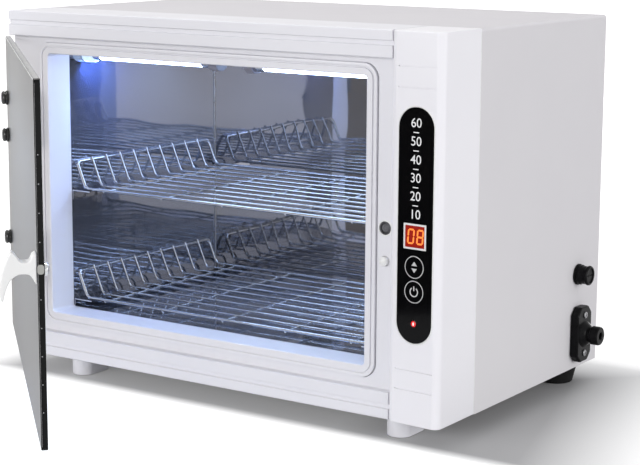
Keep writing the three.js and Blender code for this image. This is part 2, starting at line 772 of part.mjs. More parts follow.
function wire(corners, diameter, bend, sides, steps = 2, turn = 0) {
  const section = new THREE.Shape();
  for (let i = 0; i < sides; i += 1) {
    const angle = turn + (2 * Math.PI * i) / sides;
    const point = [Math.cos(angle), Math.sin(angle)].map((share) => (share * diameter) / 2);
    if (i === 0) {
      section.moveTo(...point);
    } else {
      section.lineTo(...point);
    }
  }
  const knots = bendKnots(corners, bend, steps);
  return new THREE.ExtrudeGeometry(section, {
    steps: knots.length - 1,
    bevelEnabled: false,
    extrudePath: new KnotPath(knots),
  });
}

const rackFront = linerFront + RACK_FRONT_GAP;
const rackRear = mirrorFront - RACK_REAR_GAP;
const chamberMiddle = (openLeft + openRight) / 2;
const floorHalf = (openRight - openLeft) / 2 - RACK_SIDE_GAP;
const supportHalf = floorHalf - SUPPORT_INSET;
const supportDrop = RACK_WIRE - WELD;

function makeRack(height) {
  const at = (x, y, z) => new THREE.Vector3(chamberMiddle + x, y, height + z);
  const frameFront = rackFront + FRAME_WIRE / 2;
  const frameRear = rackRear - FRAME_WIRE / 2;
  const halfFrame = (side) => wire([
    at(-side * OVERRUN, frameFront, 0),
    at(side * floorHalf, frameFront, 0),
    at(side * (floorHalf + FENCE_LEAN), frameFront, FENCE_HEIGHT),
    at(side * (floorHalf + FENCE_LEAN), frameRear, FENCE_HEIGHT),
    at(side * floorHalf, frameRear, 0),
    at(-side * OVERRUN, frameRear, 0),
  ], FRAME_WIRE, FRAME_BEND, FRAME_SIDES, 3, side > 0 ? Math.PI / FRAME_SIDES : 0);
  const beside = (FRAME_WIRE + RACK_WIRE) / 2 - WELD;
  const tipLean = (FENCE_LEAN * FENCE_TIP) / FENCE_HEIGHT;
  const foot = floorHalf - beside;
  const tip = foot + FENCE_LEAN + tipLean;
  const thinWire = (y) => wire([
    at(-tip, y, FENCE_HEIGHT + FENCE_TIP),
    at(-foot, y, 0),
    at(foot, y, 0),
    at(tip, y, FENCE_HEIGHT + FENCE_TIP),
  ], RACK_WIRE, WIRE_BEND, WIRE_SIDES);
  const span = frameRear - frameFront;
  const gaps = Math.max(2, Math.round(span / WIRE_PITCH));
  const pieces = [halfFrame(-1), halfFrame(1)];
  for (let i = 1; i < gaps; i += 1) {
    pieces.push(thinWire(frameFront + (span * i) / gaps));
  }
  for (let i = 0; i < SUPPORT_COUNT; i += 1) {
    const x = supportHalf * ((2 * i) / (SUPPORT_COUNT - 1) - 1);
    const ends = [at(x, frameFront, -supportDrop), at(x, frameRear, -supportDrop)];
    pieces.push(wire(ends, RACK_WIRE, WIRE_BEND, WIRE_SIDES));
  }
  return join(pieces);
}

function makeRail(height, side) {
  const top = height - FRAME_WIRE / 2 - FIT;
  const wall = side < 0 ? openLeft + FIT : openRight - FIT;
  const reach = RACK_SIDE_GAP + RAIL_SEAT;
  const across = (from, to) => (
    side < 0 ? [wall + from, wall + to] : [wall - to, wall - from]
  );
  const depths = [linerFront + FIT, mirrorFront - FIT];
  const foot = Math.max(top - RAIL_HEIGHT, openBottom + FIT);
  return join([
    block(across(0, reach), depths, [top - RAIL_SHEET, top]),
    block(across(0, RAIL_SHEET), depths, [foot, top]),
  ]);
}

const rackHeights = {
  upper: openBottom + UPPER_RACK_RISE,
  lower: openBottom + LOWER_RACK_RISE,
};
Object.entries(rackHeights).forEach(([level, height]) => {
  addPiece(cabinet, `${level}_rack`, makeRack(height), CHROME_WIRE());
  addPiece(cabinet, `${level}_rail_left`, makeRail(height, -1), MIRROR_STEEL());
  addPiece(cabinet, `${level}_rail_right`, makeRail(height, 1), MIRROR_STEEL());
});

// Two tubes end to end under the ceiling, each between two holders
const tubeY = JAMB_DEPTH + TUBE_SETBACK;
const tubeHeight = ceiling - TUBE_HANG;
const holderPair = 2 * (HOLDER_THICKNESS + FIT);
const tubeLength = (openRight - openLeft - LAMP_GAP) / 2 - holderPair - FIT;

function makeTube(start) {
  const radius = TUBE_DIAMETER / 2;
  const slim = radius - TUBE_CAP_STEP;
  const end = start + tubeLength;
  return turnedAlongX([
    [0, start],
    [radius, start],
    [radius, start + TUBE_CAP],
    [slim, start + TUBE_CAP],
    [slim, end - TUBE_CAP],
    [radius, end - TUBE_CAP],
    [radius, end],
    [0, end],
  ], tubeY, tubeHeight, 20);
}

function makeHolder(start) {
  return block(
    [start, start + HOLDER_THICKNESS],
    [tubeY - HOLDER_WIDTH / 2, tubeY + HOLDER_WIDTH / 2],
    [tubeHeight - HOLDER_DROP, ceiling - FIT],
  );
}

const lampSpan = holderPair + tubeLength;
const lampStarts = {
  left: openLeft + FIT,
  right: openRight - FIT - lampSpan,
};
Object.entries(lampStarts).forEach(([side, start]) => {
  const tubeStart = start + HOLDER_THICKNESS + FIT;
  const farHolder = tubeStart + tubeLength + FIT;
  addPiece(cabinet, `uv_tube_${side}`, makeTube(tubeStart), LAMP_GLASS());
  addPiece(cabinet, `${side}_lamp_holder_1`, makeHolder(start), WHITE_PLASTIC());
  addPiece(cabinet, `${side}_lamp_holder_2`, makeHolder(farHolder), WHITE_PLASTIC());
});

// Magnet, door switch and its plunger, behind the strip beside the column
function makeSwitchBody() {
  const front = RECESS_DEPTH + MOULDING + FIT;
  const body = block(
    [catchX - SWITCH_WIDTH / 2, catchX + SWITCH_WIDTH / 2],
    [front, front + SWITCH_DEPTH],
    [plungerHeight - SWITCH_HEIGHT / 2, plungerHeight + SWITCH_HEIGHT / 2],
  );
  const plungerEnd = RECESS_DEPTH - PLUNGER_PROUD + PLUNGER_LENGTH;
  const bore = [front - OVERRUN, plungerEnd + PLUNGER_TRAVEL + OVERRUN];
  return cut(body, [rodAlongY(PLUNGER_DIAMETER + 2 * FIT, catchX, plungerHeight, bore)]);
}

const magnetFront = RECESS_DEPTH - MAGNET_PROUD;
const magnet = rodAlongY(
  MAGNET_DIAMETER,
  catchX,
  CATCH_HEIGHT,
  [magnetFront, magnetFront + MAGNET_LENGTH],
);
const plungerFront = RECESS_DEPTH - PLUNGER_PROUD;
const plunger = rodAlongY(
  PLUNGER_DIAMETER,
  catchX,
  plungerHeight,
  [plungerFront, plungerFront + PLUNGER_LENGTH],
);
addPiece(cabinet, 'magnet_catch', magnet, MAGNET_GREY());
addPiece(cabinet, 'switch_plunger', plunger, WHITE_PLASTIC());
addPiece(cabinet, 'switch_body', makeSwitchBody(), BLACK_PLASTIC());

// Hinges. Both leaves share one pin line, in the gap between the glass and the recess.
const glassBack = RECESS_DEPTH - DOOR_STACK;
const glassFront = glassBack - GLASS;
const pivotY = (glassBack + RECESS_DEPTH) / 2;
const hingeMiddles = {
  lower: BAND_HEIGHT + HINGE_LOWER_INSET,
  upper: bandTop - HINGE_UPPER_INSET,
};
const knuckleBore = HINGE_PIN + 2 * FIT;

function knuckleSpans(middle, isDoor) {
  const half = HINGE_HEIGHT / 2;
  const inner = (HINGE_HEIGHT * KNUCKLE_SHARE) / 2;
  if (isDoor) {
    return [[middle - inner, middle + inner]];
  }
  return [
    [middle - half, middle - inner - FIT],
    [middle + inner + FIT, middle + half],
  ];
}

function makeLeaf(middle, isDoor) {
  const radius = KNUCKLE_DIAMETER / 2;
  const reach = isDoor ? DOOR_LEAF_REACH : FRAME_LEAF_REACH;
  const depths = isDoor
    ? [pivotY - radius, pivotY - radius + LEAF]
    : [pivotY + radius - LEAF, pivotY + radius];
  const half = HINGE_HEIGHT / 2;
  const clear = PIVOT_INSET + radius + 2 * FIT;
  const plate = block([clear, reach], depths, [middle - half, middle + half]);
  const knuckles = knuckleSpans(middle, isDoor).flatMap((span) => [
    rodAlongZ(KNUCKLE_DIAMETER, PIVOT_INSET, pivotY, span, 14),
    block([PIVOT_INSET, clear + OVERRUN], depths, span),
  ]);
  const bore = rodAlongZ(
    knuckleBore,
    PIVOT_INSET,
    pivotY,
    [middle - half - OVERRUN, middle + half + OVERRUN],
    12,
  );
  const holes = isDoor ? nutHeights(middle).map((height) => (
    rodAlongY(NUT_SHANK + 2 * FIT, NUT_INSET, height, [glassBack, RECESS_DEPTH], 16)
  )) : [];
  return cut(join([plate, ...knuckles]), [bore, ...holes]);
}

function nutHeights(middle) {
  return [middle - NUT_PITCH / 2, middle + NUT_PITCH / 2];
}

function makePin(middle) {
  const half = HINGE_HEIGHT / 2;
  return turnedAlongZ([
    [0, -half],
    [HINGE_PIN / 2, -half],
    [HINGE_PIN / 2, half + FIT],
    [PIN_HEAD / 2, half + FIT],
    [PIN_HEAD / 2, half + FIT + PIN_HEAD_HEIGHT],
    [0, half + FIT + PIN_HEAD_HEIGHT],
  ], PIVOT_INSET, pivotY, 12).translate(0, 0, middle);
}

// The door, drawn as it lies when closed, and turned open about its pin line
const door = new THREE.Group();
door.position.set(PIVOT_INSET, pivotY, 0);
door.rotation.z = THREE.MathUtils.degToRad(-DOOR_ANGLE);
const doorShift = new THREE.Group();
doorShift.position.set(-PIVOT_INSET, -pivotY, 0);
door.add(doorShift);
cabinet.add(door);

function makeGlass() {
  const pane = block(
    [0, columnLeft - DOOR_END_GAP],
    [glassFront, glassBack],
    [BAND_HEIGHT + DOOR_EDGE_GAP, bandTop - DOOR_EDGE_GAP],
  );
  const through = [glassFront - OVERRUN, glassBack + OVERRUN];
  const nutHoles = Object.values(hingeMiddles).flatMap(nutHeights).map((height) => (
    rodAlongY(NUT_SHANK + 2 * FIT, NUT_INSET, height, through, 16)
  ));
  const stemHole = rodAlongY(STRIKER_STEM + 2 * FIT, catchX, CATCH_HEIGHT, through, 16);
  return cut(pane, [...nutHoles, stemHole]);
}

// A cap nut: a low dome on a rim, with its shank through the glass and the hinge leaf
function makeNut(height) {
  const rim = glassFront - FIT;
  const dome = new THREE.SplineCurve([
    new THREE.Vector2(0, rim - NUT_RISE),
    new THREE.Vector2(NUT_DIAMETER / 4, rim - NUT_RISE + NUT_RIM / 2),
    new THREE.Vector2(NUT_DIAMETER / 2.4, rim - NUT_RISE / 1.7),
    new THREE.Vector2(NUT_DIAMETER / 2, rim - NUT_RIM),
  ]).getPoints(4).map((point) => [Math.max(point.x, 0), point.y]);
  const shankEnd = pivotY - KNUCKLE_DIAMETER / 2 + LEAF;
  return turnedAlongY([
    ...dome,
    [NUT_DIAMETER / 2, rim],
    [NUT_SHANK / 2, rim],
    [NUT_SHANK / 2, shankEnd],
    [0, shankEnd],
  ], NUT_INSET, height, 16);
}

// Side view of the handle: a flared foot, a waist and a grip that slopes down to its tip.
// Shares of the reach and of the half height.
const handleShares = [
  [0, -0.9], [0.06, -0.68], [0.13, -0.42], [0.21, -0.2], [0.42, -0.1], [0.56, -0.18],
  [0.7, -0.42], [0.8, -0.8], [0.87, -1.3], [0.92, -1.78], [0.97, -1.78], [1, -1.5],
  [0.985, -0.9], [0.94, -0.2], [0.84, 0.5], [0.7, 1.08], [0.63, 1.08], [0.56, 0.9],
  [0.48, 0.62], [0.4, 0.5], [0.22, 0.5], [0.15, 0.66], [0.1, 0.9], [0, 1.02],
];

function makeHandle() {
  const foot = glassFront - FIT;
  const outline = new THREE.Shape(handleShares.map(([out, up]) => (
    new THREE.Vector2(foot - out * HANDLE_REACH, CATCH_HEIGHT + up * HANDLE_HALF)
  )).reverse());
  const body = slabAlongX(
    outline,
    catchX - HANDLE_WIDTH / 2,
    catchX + HANDLE_WIDTH / 2,
  );
  const stemEnd = glassBack + FIT - STRIKER_STEM_LENGTH;
  return cut(body, [
    rodAlongY(
      STRIKER_STEM + 2 * FIT,
      catchX,
      CATCH_HEIGHT,
      [stemEnd - FIT, glassFront + OVERRUN],
      16,
    ),
  ]);
}

function makeStriker() {
  const seat = glassBack + FIT;
  return turnedAlongY([
    [0, seat - STRIKER_STEM_LENGTH],
    [STRIKER_STEM / 2, seat - STRIKER_STEM_LENGTH],
    [STRIKER_STEM / 2, seat],
    [STRIKER_DIAMETER / 2, seat],
    [STRIKER_DIAMETER / 2, seat + STRIKER_THICKNESS],
    [0, seat + STRIKER_THICKNESS],
  ], catchX, CATCH_HEIGHT, 24);
}

addPiece(doorShift, 'door_glass', makeGlass(), SMOKED_GLASS());
addPiece(doorShift, 'door_handle', makeHandle(), HANDLE_PLASTIC());
addPiece(doorShift, 'striker_screw', makeStriker(), STEEL());
Object.entries(hingeMiddles).forEach(([level, middle]) => {
  addPiece(cabinet, `${level}_hinge_frame_leaf`, makeLeaf(middle, false), STEEL());
  addPiece(cabinet, `${level}_hinge_pin`, makePin(middle), STEEL());
  addPiece(doorShift, `${level}_hinge_door_leaf`, makeLeaf(middle, true), STEEL());
  nutHeights(middle).forEach((height, index) => {
    addPiece(doorShift, `${level}_hinge_nut_${index + 1}`, makeNut(height), BLACK_PLASTIC());
  });
});

// Fuse holder through the right side, its nut inside, the fuse and the cap
const holderFront = CASE_WIDTH + FIT;
const holderFace = holderFront + FUSE_FLANGE_THICKNESS;
const holderRear = CASE_WIDTH - FUSE_BODY_LENGTH;
const boreEnd = holderRear + MOULDING;

function makeFuseHolder() {
  return turnedAlongX([
    [0, holderRear],
    [FUSE_BODY / 2, holderRear],
    [FUSE_BODY / 2, holderFront],
    [FUSE_FLANGE / 2, holderFront],
    [FUSE_FLANGE / 2, holderFace],
    [FUSE_BORE / 2, holderFace],
    [FUSE_BORE / 2, boreEnd],
    [0, boreEnd],
  ], fuseY, FUSE_HEIGHT);
}

function makeFuseNut() {
  const inside = CASE_WIDTH - SHEET - FIT;
  const span = [inside - FUSE_NUT_THICKNESS, inside];
  const through = [span[0] - OVERRUN, span[1] + OVERRUN];
  const hexagon = rodAlongX(FUSE_NUT, fuseY, FUSE_HEIGHT, span, 6);
  return cut(hexagon, [rodAlongX(fuseHole, fuseY, FUSE_HEIGHT, through)]);
}

function makeFuseCap() {
  const seat = holderFace + FIT;
  const end = seat + FUSE_CAP_LENGTH;
  const radius = FUSE_CAP_DIAMETER / 2;
  const plug = boreEnd + FIT + FUSE_LENGTH + FIT;
  return turnedAlongX([
    [0, plug],
    [FUSE_DIAMETER / 2, plug],
    [FUSE_DIAMETER / 2, seat],
    [radius, seat],
    [radius, seat + FUSE_CAP_LENGTH / 4],
    [radius - FUSE_CAP_WAIST, seat + FUSE_CAP_LENGTH / 3],
    [radius - FUSE_CAP_WAIST, seat + FUSE_CAP_LENGTH / 2],
    [radius, seat + FUSE_CAP_LENGTH / 1.6],
    [radius, end - FUSE_CAP_ROUND],
    [radius - FUSE_CAP_ROUND, end],
    [0, end],
  ], fuseY, FUSE_HEIGHT, 24);
}

const fuseSpan = [boreEnd + FIT, boreEnd + FIT + FUSE_LENGTH];
addPiece(cabinet, 'fuse_holder', makeFuseHolder(), BLACK_PLASTIC());
addPiece(cabinet, 'fuse_holder_nut', makeFuseNut(), BLACK_PLASTIC());
addPiece(cabinet, 'fuse', rodAlongX(FUSE_DIAMETER, fuseY, FUSE_HEIGHT, fuseSpan, 16), STEEL());
addPiece(cabinet, 'fuse_cap', makeFuseCap(), BLACK_PLASTIC());

// Mains inlet block with its two screws and the gland that the lead would come out of
const inletFront = CASE_WIDTH + FIT;
const inletFace = inletFront + INLET_THICKNESS;

function makeInletBlock() {
  const outline = roundedRectangle(
    [inletY - INLET_WIDTH / 2, inletY + INLET_WIDTH / 2],
    [INLET_HEIGHT - INLET_LENGTH / 2, INLET_HEIGHT + INLET_LENGTH / 2],
    INLET_WIDTH / 2,
  );
  const body = slabAlongX(outline, inletFront, inletFace, INLET_BEVEL);
  const through = [inletFront - OVERRUN, inletFace + OVERRUN];
  return cut(body, [
    rodAlongX(GLAND_NECK + 2 * FIT, inletY, INLET_HEIGHT, through),
    ...inletScrewHeights.map((height) => rodAlongX(screwHole, inletY, height, through, 16)),
  ]);
}

function makeInletScrew(height) {
  const seat = inletFace + FIT;
  return turnedAlongX([
    [0, inletFront - SCREW_TAIL],
    [SCREW_SHANK / 2, inletFront - SCREW_TAIL],
    [SCREW_SHANK / 2, seat],
    [SCREW_HEAD / 2, seat],
    [SCREW_HEAD / 2, seat + SCREW_HEAD_RISE / 2],
    [SCREW_HEAD / 4, seat + SCREW_HEAD_RISE],
    [0, seat + SCREW_HEAD_RISE],
  ], inletY, height, 16);
}

function makeGland() {
  const seat = inletFace + FIT;
  const end = seat + GLAND_LENGTH;
  const radius = GLAND_DIAMETER / 2;
  const neck = GLAND_NECK / 2;
  return turnedAlongX([
    [0, CASE_WIDTH - SHEET],
    [neck, CASE_WIDTH - SHEET],
    [neck, seat],
    [radius, seat],
    [radius, seat + GLAND_RING],
    [neck, seat + GLAND_RING],
    [neck, seat + GLAND_RING + INLET_BEVEL],
    [radius, seat + GLAND_RING + INLET_BEVEL],
    [radius, end - INLET_BEVEL],
    [radius - INLET_BEVEL, end],
    [GLAND_BORE / 2, end],
    [GLAND_BORE / 2, seat],
    [0, seat],
  ], inletY, INLET_HEIGHT);
}

addPiece(cabinet, 'inlet_block', makeInletBlock(), BLACK_PLASTIC());
addPiece(cabinet, 'inlet_gland', makeGland(), BLACK_PLASTIC());
inletScrewHeights.forEach((height, index) => {
  addPiece(cabinet, `inlet_screw_${index + 1}`, makeInletScrew(height), STEEL());
});

// Lamp ballast on the base panel, beside the chamber
const ballastMiddle = (openRight + LINER + CASE_WIDTH - SHEET) / 2;
const ballast = block(
  [ballastMiddle - BALLAST_WIDTH / 2, ballastMiddle + BALLAST_WIDTH / 2],
  [FACE_DEPTH + BALLAST_FRONT_GAP, CASE_DEPTH - BALLAST_REAR_GAP],
  [SHEET + FIT, SHEET + FIT + BALLAST_HEIGHT],
);
addPiece(cabinet, 'ballast', ballast, STEEL());

// Feet: long white ones under the face, round rubber ones at the back
function makeFrontFoot(x) {
  const outline = roundedRectangle(
    [x - FRONT_FOOT_WIDTH / 2, x + FRONT_FOOT_WIDTH / 2],
    [FRONT_FOOT_SETBACK, FRONT_FOOT_SETBACK + FRONT_FOOT_LENGTH],
    FRONT_FOOT_WIDTH / 2,
  );
  return slabAlongZ(outline, -FOOT_HEIGHT, -FIT);
}

function makeRearFoot(x) {
  return turnedAlongZ([
    [0, -FOOT_HEIGHT],
    [REAR_FOOT_BOTTOM / 2, -FOOT_HEIGHT],
    [REAR_FOOT_TOP / 2, -FIT],
    [0, -FIT],
  ], x, CASE_DEPTH - REAR_FOOT_SETBACK);
}

const rightFootX = CASE_WIDTH - RIGHT_FOOT_INSET;
addPiece(cabinet, 'front_foot_left', makeFrontFoot(LEFT_FOOT_X), WHITE_PLASTIC());
addPiece(cabinet, 'front_foot_right', makeFrontFoot(rightFootX), WHITE_PLASTIC());
addPiece(cabinet, 'rear_foot_left', makeRearFoot(REAR_FOOT_INSET), BLACK_RUBBER());
addPiece(cabinet, 'rear_foot_right', makeRearFoot(CASE_WIDTH - REAR_FOOT_INSET), BLACK_RUBBER());

export default sterilizer;
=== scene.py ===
# %% [markdown]
# This file dresses a bench-top ultraviolet cabinet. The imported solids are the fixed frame: they
# say how large each piece is and where it sits, and every cell below builds one real piece over
# them, with its rounded edges, bends and surface finish. Read it from top to bottom: helpers
# come where they are first needed.

# %% Load the frame
import math

import bmesh
import bpy
from mathutils import Matrix, Vector


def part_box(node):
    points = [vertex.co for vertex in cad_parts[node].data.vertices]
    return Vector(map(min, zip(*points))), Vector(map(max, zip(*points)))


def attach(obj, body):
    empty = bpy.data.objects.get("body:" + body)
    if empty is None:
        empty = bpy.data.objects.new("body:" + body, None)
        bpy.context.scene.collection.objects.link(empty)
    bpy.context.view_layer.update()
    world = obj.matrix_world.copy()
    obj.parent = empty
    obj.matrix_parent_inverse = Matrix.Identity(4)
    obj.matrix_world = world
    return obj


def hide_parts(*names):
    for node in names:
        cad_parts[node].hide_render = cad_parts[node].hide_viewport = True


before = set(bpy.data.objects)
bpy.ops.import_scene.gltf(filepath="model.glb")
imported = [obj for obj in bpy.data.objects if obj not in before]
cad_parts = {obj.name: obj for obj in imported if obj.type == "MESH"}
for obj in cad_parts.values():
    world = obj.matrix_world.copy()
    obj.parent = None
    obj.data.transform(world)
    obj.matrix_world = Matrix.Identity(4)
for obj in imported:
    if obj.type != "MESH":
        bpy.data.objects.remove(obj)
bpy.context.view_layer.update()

# %% [markdown]
# The pieces are drawn in millimetres as a maker would draw them, from the cabinet's lower left
# front corner: X to the right, Y to the back, Z up. One matrix brings them into the frame. The
# door has its own matrix, turned about the pin line of its hinges, so it can be drawn shut and
# still stand open as in the photograph. The control panel leans a little, so it has one too.

# %% Places of the cabinet, the door and the panel
MM = 0.001
CABINET = Matrix.Translation(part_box("face_moulding")[0]) @ Matrix.Scale(MM, 4)
DOOR_ANGLE = 43.6
PIN_X, PIN_Y = 1.2, 5.25
PIN_LINE = Vector((PIN_X, PIN_Y, 0.0))
DOOR = (
    CABINET
    @ Matrix.Translation(PIN_LINE)
    @ Matrix.Rotation(math.radians(-DOOR_ANGLE), 4, "Z")
    @ Matrix.Translation(-PIN_LINE)
)
COLUMN_SLOPE = 3.0 / 42.5
PANEL_X, PANEL_Y, PANEL_Z = 436.0, -3.8, 163.0
PANEL = (
    CABINET
    @ Matrix.Translation((PANEL_X, PANEL_Y, PANEL_Z))
    @ Matrix.Rotation(-math.atan(COLUMN_SLOPE), 4, "Z")
)
WIDTH, DEPTH, HEIGHT = 460.0, 284.0, 316.5
FACE_RIGHT, FACE_DEPTH = 410.2, 54.0
print("door pin at", [round(value, 4) for value in (CABINET @ PIN_LINE)])

# %% [markdown]
# Almost every piece here is a closed outline carried along one direction: a moulding, a folded
# sheet, a plate. A cube with a bevel would do for one box, but outlines with their own corner
# radii keep every edge soft and every face clean. `bend` rounds the corners of an outline or of
# a wire with true arcs, and `loft` skins a row of such loops.

# %% Outlines and lofts
def bend(corners, steps=6, closed=True):
    """Points along straight runs whose corners are (place..., radius)."""
    points = []
    last = len(corners) - 1
    for i, (*place, radius) in enumerate(corners):
        here = Vector(place)
        if radius == 0 or (not closed and i in (0, last)):
            points.append(here)
            continue
        back = (Vector(corners[i - 1][:-1]) - here).normalized()
        onward = (Vector(corners[(i + 1) % len(corners)][:-1]) - here).normalized()
        start, end = here + back * radius, here + onward * radius
        weight = math.sin(back.angle(onward) / 2)
        for k in range(steps + 1):
            t = k / steps
            a, b, c = (1 - t) ** 2, 2 * weight * t * (1 - t), t * t
            points.append((start * a + here * b + end * c) / (a + b + c))
    return points


def rounded(u0, u1, v0, v1, radius, steps=6):
    """A rectangle with round corners."""
    return bend([(u0, v0, radius), (u1, v0, radius), (u1, v1, radius), (u0, v1, radius)], steps)


def tile(u0, u1, v0, v1, radius, steps=6):
    """The same rectangle as a function of how far its edge is drawn in."""
    def outline(inset):
        corner = max(radius - inset, 0.02)
        return rounded(u0 + inset, u1 - inset, v0 + inset, v1 - inset, corner, steps)
    return outline


def on_x(outline, x):
    return [(x, u, v) for u, v in outline]


def on_y(outline, y):
    return [(u, y, v) for u, v in outline]


def on_z(outline, z):
    return [(u, v, z) for u, v in outline]


def make_object(name, data):
    piece = bpy.data.objects.new(name, data)
    bpy.context.scene.collection.objects.link(piece)
    return piece


def loft(name, loops, ring=False):
    """A closed skin over loops that all have the same number of points."""
    count, rows = len(loops[0]), len(loops)
    faces = []
    for row in range(rows if ring else rows - 1):
        here, there = row * count, ((row + 1) % rows) * count
        for i in range(count):
            j = (i + 1) % count
            faces.append((here + i, here + j, there + j, there + i))
    if not ring:
        faces.append(tuple(range(count)))
        faces.append(tuple(range((rows - 1) * count, rows * count)))
    mesh = bpy.data.meshes.new(name)
    mesh.from_pydata([point for loop in loops for point in loop], [], faces)
    return make_object(name, mesh)


def slab(name, outline, low, high, edge, on, steps=3):
    """A plate between two planes. Its edges are rounded by drawing the outline in."""
    loops = []
    for k in range(steps + 1):
        angle = k / steps * math.pi / 2
        inset, depth = edge * (1 - math.sin(angle)), edge * (1 - math.cos(angle))
        loops.append((inset, low + depth))
    loops += [(inset, low + high - along) for inset, along in reversed(loops)]
    return loft(name, [on(outline(inset), along) for inset, along in loops])


print("a corner of radius 3 in", len(bend([(0, 0, 3), (9, 0, 0), (0, 9, 0)])) - 2, "points")

# %% [markdown]
# Round pieces, such as nuts, caps and tubes, are turned on a lathe: a profile of radii and
# places along the axis goes round in steps. The Screw modifier could do it too, but a profile
# in code keeps the numbers of the piece in sight.

# %% Turned pieces
def turned(name, profile, axis, centre, steps=40):
    """A profile of (radius, along), turned about an axis through centre."""
    loops = []
    for radius, along in profile:
        loop = []
        for k in range(steps):
            angle = 2 * math.pi * k / steps
            u = centre[0] + max(radius, 1e-5) * math.cos(angle)
            v = centre[1] + max(radius, 1e-5) * math.sin(angle)
            loop.append({"X": (along, u, v), "Y": (u, along, v), "Z": (u, v, along)}[axis])
        loops.append(loop)
    return loft(name, loops)


def dome(radius, base, top, steps=8):
    """The profile of a dome, from its tip on the axis to its rim."""
    return [
        (
            radius * math.sin(k / steps * math.pi / 2),
            base + (top - base) * math.cos(k / steps * math.pi / 2),
        )
        for k in range(steps + 1)
    ]


# %% [markdown]
# Holes and pockets are cut with the exact Boolean modifier. Drawing each hole into a mesh by
# hand would need fewer faces, but a cutter can be placed and measured like the tool it stands
# for. Each is removed once the cut is in the mesh, so the finished piece is one plain object.

# %% Cuts, joins and modifiers made permanent
def real_mesh(piece):
    """A new mesh with the piece's modifiers, curves or letters made real."""
    bpy.context.view_layer.update()
    graph = bpy.context.evaluated_depsgraph_get()
    return bpy.data.meshes.new_from_object(piece.evaluated_get(graph))


def settle(piece):
    """Makes the piece's modifiers part of its mesh."""
    piece.data = real_mesh(piece)
    piece.modifiers.clear()
    return piece


def as_mesh_object(name, piece):
    """Puts a mesh object in the place of a curve or of letters."""
    mesh = real_mesh(piece)
    bpy.data.objects.remove(piece)
    return make_object(name, mesh)


def from_work(name, work):
    mesh = bpy.data.meshes.new(name)
    work.to_mesh(mesh)
    work.free()
    return make_object(name, mesh)


def outward(piece):
    """Merges doubled points and turns every face to the outside."""
    work = bmesh.new()
    work.from_mesh(piece.data)
    bmesh.ops.remove_doubles(work, verts=work.verts, dist=2e-4)
    bmesh.ops.recalc_face_normals(work, faces=work.faces)
    work.to_mesh(piece.data)
    work.free()
    return piece


def cut(piece, *cutters):
    outward(piece)
    for cutter in cutters:
        outward(cutter)
        boolean = piece.modifiers.new("Cut", "BOOLEAN")
        boolean.operation = "DIFFERENCE"
        boolean.solver = "EXACT"
        boolean.object = cutter
    settle(piece)
    for cutter in cutters:
        bpy.data.objects.remove(cutter)
    return piece


def joined(name, pieces):
    """One object from several, for parts that are glued, welded or printed together."""
    work = bmesh.new()
    for piece in pieces:
        work.from_mesh(piece.data)
        bpy.data.objects.remove(piece)
    return from_work(name, work)


# %% [markdown]
# Shading decides whether an edge looks soft. Each piece is shaded smooth, edges sharper than a
# limit stay crisp, and the Weighted Normal modifier keeps the large faces flat between their
# small rounded edges. Then the piece gets its finish and rides on the body that carries it.

# %% Finishing a piece
def shade(piece, limit=38.0):
    outward(piece)
    work = bmesh.new()
    work.from_mesh(piece.data)
    for face in work.faces:
        face.smooth = True
    for edge in work.edges:
        edge.smooth = len(edge.link_faces) == 2 and edge.calc_face_angle() < math.radians(limit)
    work.to_mesh(piece.data)
    work.free()
    weighted = piece.modifiers.new("Weighted", "WEIGHTED_NORMAL")
    weighted.keep_sharp = True
    weighted.weight = 80
    return settle(piece)


def finish(piece, body, slot, material, *nodes, place=CABINET, limit=38.0):
    shade(piece, limit)
    piece.data.transform(place)
    piece.data.materials.clear()
    piece.data.materials.append(material)
    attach(piece, body)
    if nodes:
        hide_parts(*nodes)
    size = [round(value / MM, 1) for value in piece.dimensions]
    print(piece.name, "mm", size, "faces", len(piece.data.polygons))
    return piece


# %% [markdown]
# Materials are made from nodes alone, so they need no pictures and no UV map: noise in object
# space is the same on every side of a piece. These helpers add one node each and wire it.

# %% Node helpers
def new_material(name, colour, roughness, metallic=0.0):
    """A material with one Principled shader. Even values sit on its own sockets."""
    material = bpy.data.materials.new(name)
    material.use_nodes = True
    shader = material.node_tree.nodes["Principled BSDF"]
    shader.inputs["Base Color"].default_value = (*colour, 1.0)
    shader.inputs["Roughness"].default_value = roughness
    shader.inputs["Metallic"].default_value = metallic
    material.diffuse_color = (*colour, 1.0)
    return material, shader


def node(material, kind, **sockets):
    made = material.node_tree.nodes.new("ShaderNode" + kind)
    for name, value in sockets.items():
        socket = made.inputs[name.replace("_", " ")]
        if isinstance(value, bpy.types.NodeSocket):
            material.node_tree.links.new(value, socket)
        else:
            socket.default_value = value
    return made


def wire_up(material, output, socket):
    material.node_tree.links.new(output, socket)


def noise(material, scale, detail=3.0, stretch=(1.0, 1.0, 1.0)):
    """Noise in object space. Scale is in waves per metre, and stretch makes it run in lines."""
    place = node(material, "TexCoord").outputs["Object"]
    spread = node(material, "Mapping", Vector=place, Scale=stretch).outputs["Vector"]
    return node(material, "TexNoise", Vector=spread, Scale=scale, Detail=detail).outputs["Fac"]


def tones(material, shader, source, dark, pale, low=0.3, high=0.7):
    """Colours the surface between two tones."""
    ramp = node(material, "ValToRGB", Fac=source)
    ramp.color_ramp.elements[0].position, ramp.color_ramp.elements[1].position = low, high
    ramp.color_ramp.elements[0].color = (*dark, 1.0)
    ramp.color_ramp.elements[1].color = (*pale, 1.0)
    wire_up(material, ramp.outputs["Color"], shader.inputs["Base Color"])


def remapped(material, source, start, end, low, high):
    """Low where the source is at start, high where it is at the end, even in between."""
    return node(material, "MapRange", Value=source, From_Min=start, From_Max=end,
                To_Min=low, To_Max=high).outputs["Result"]


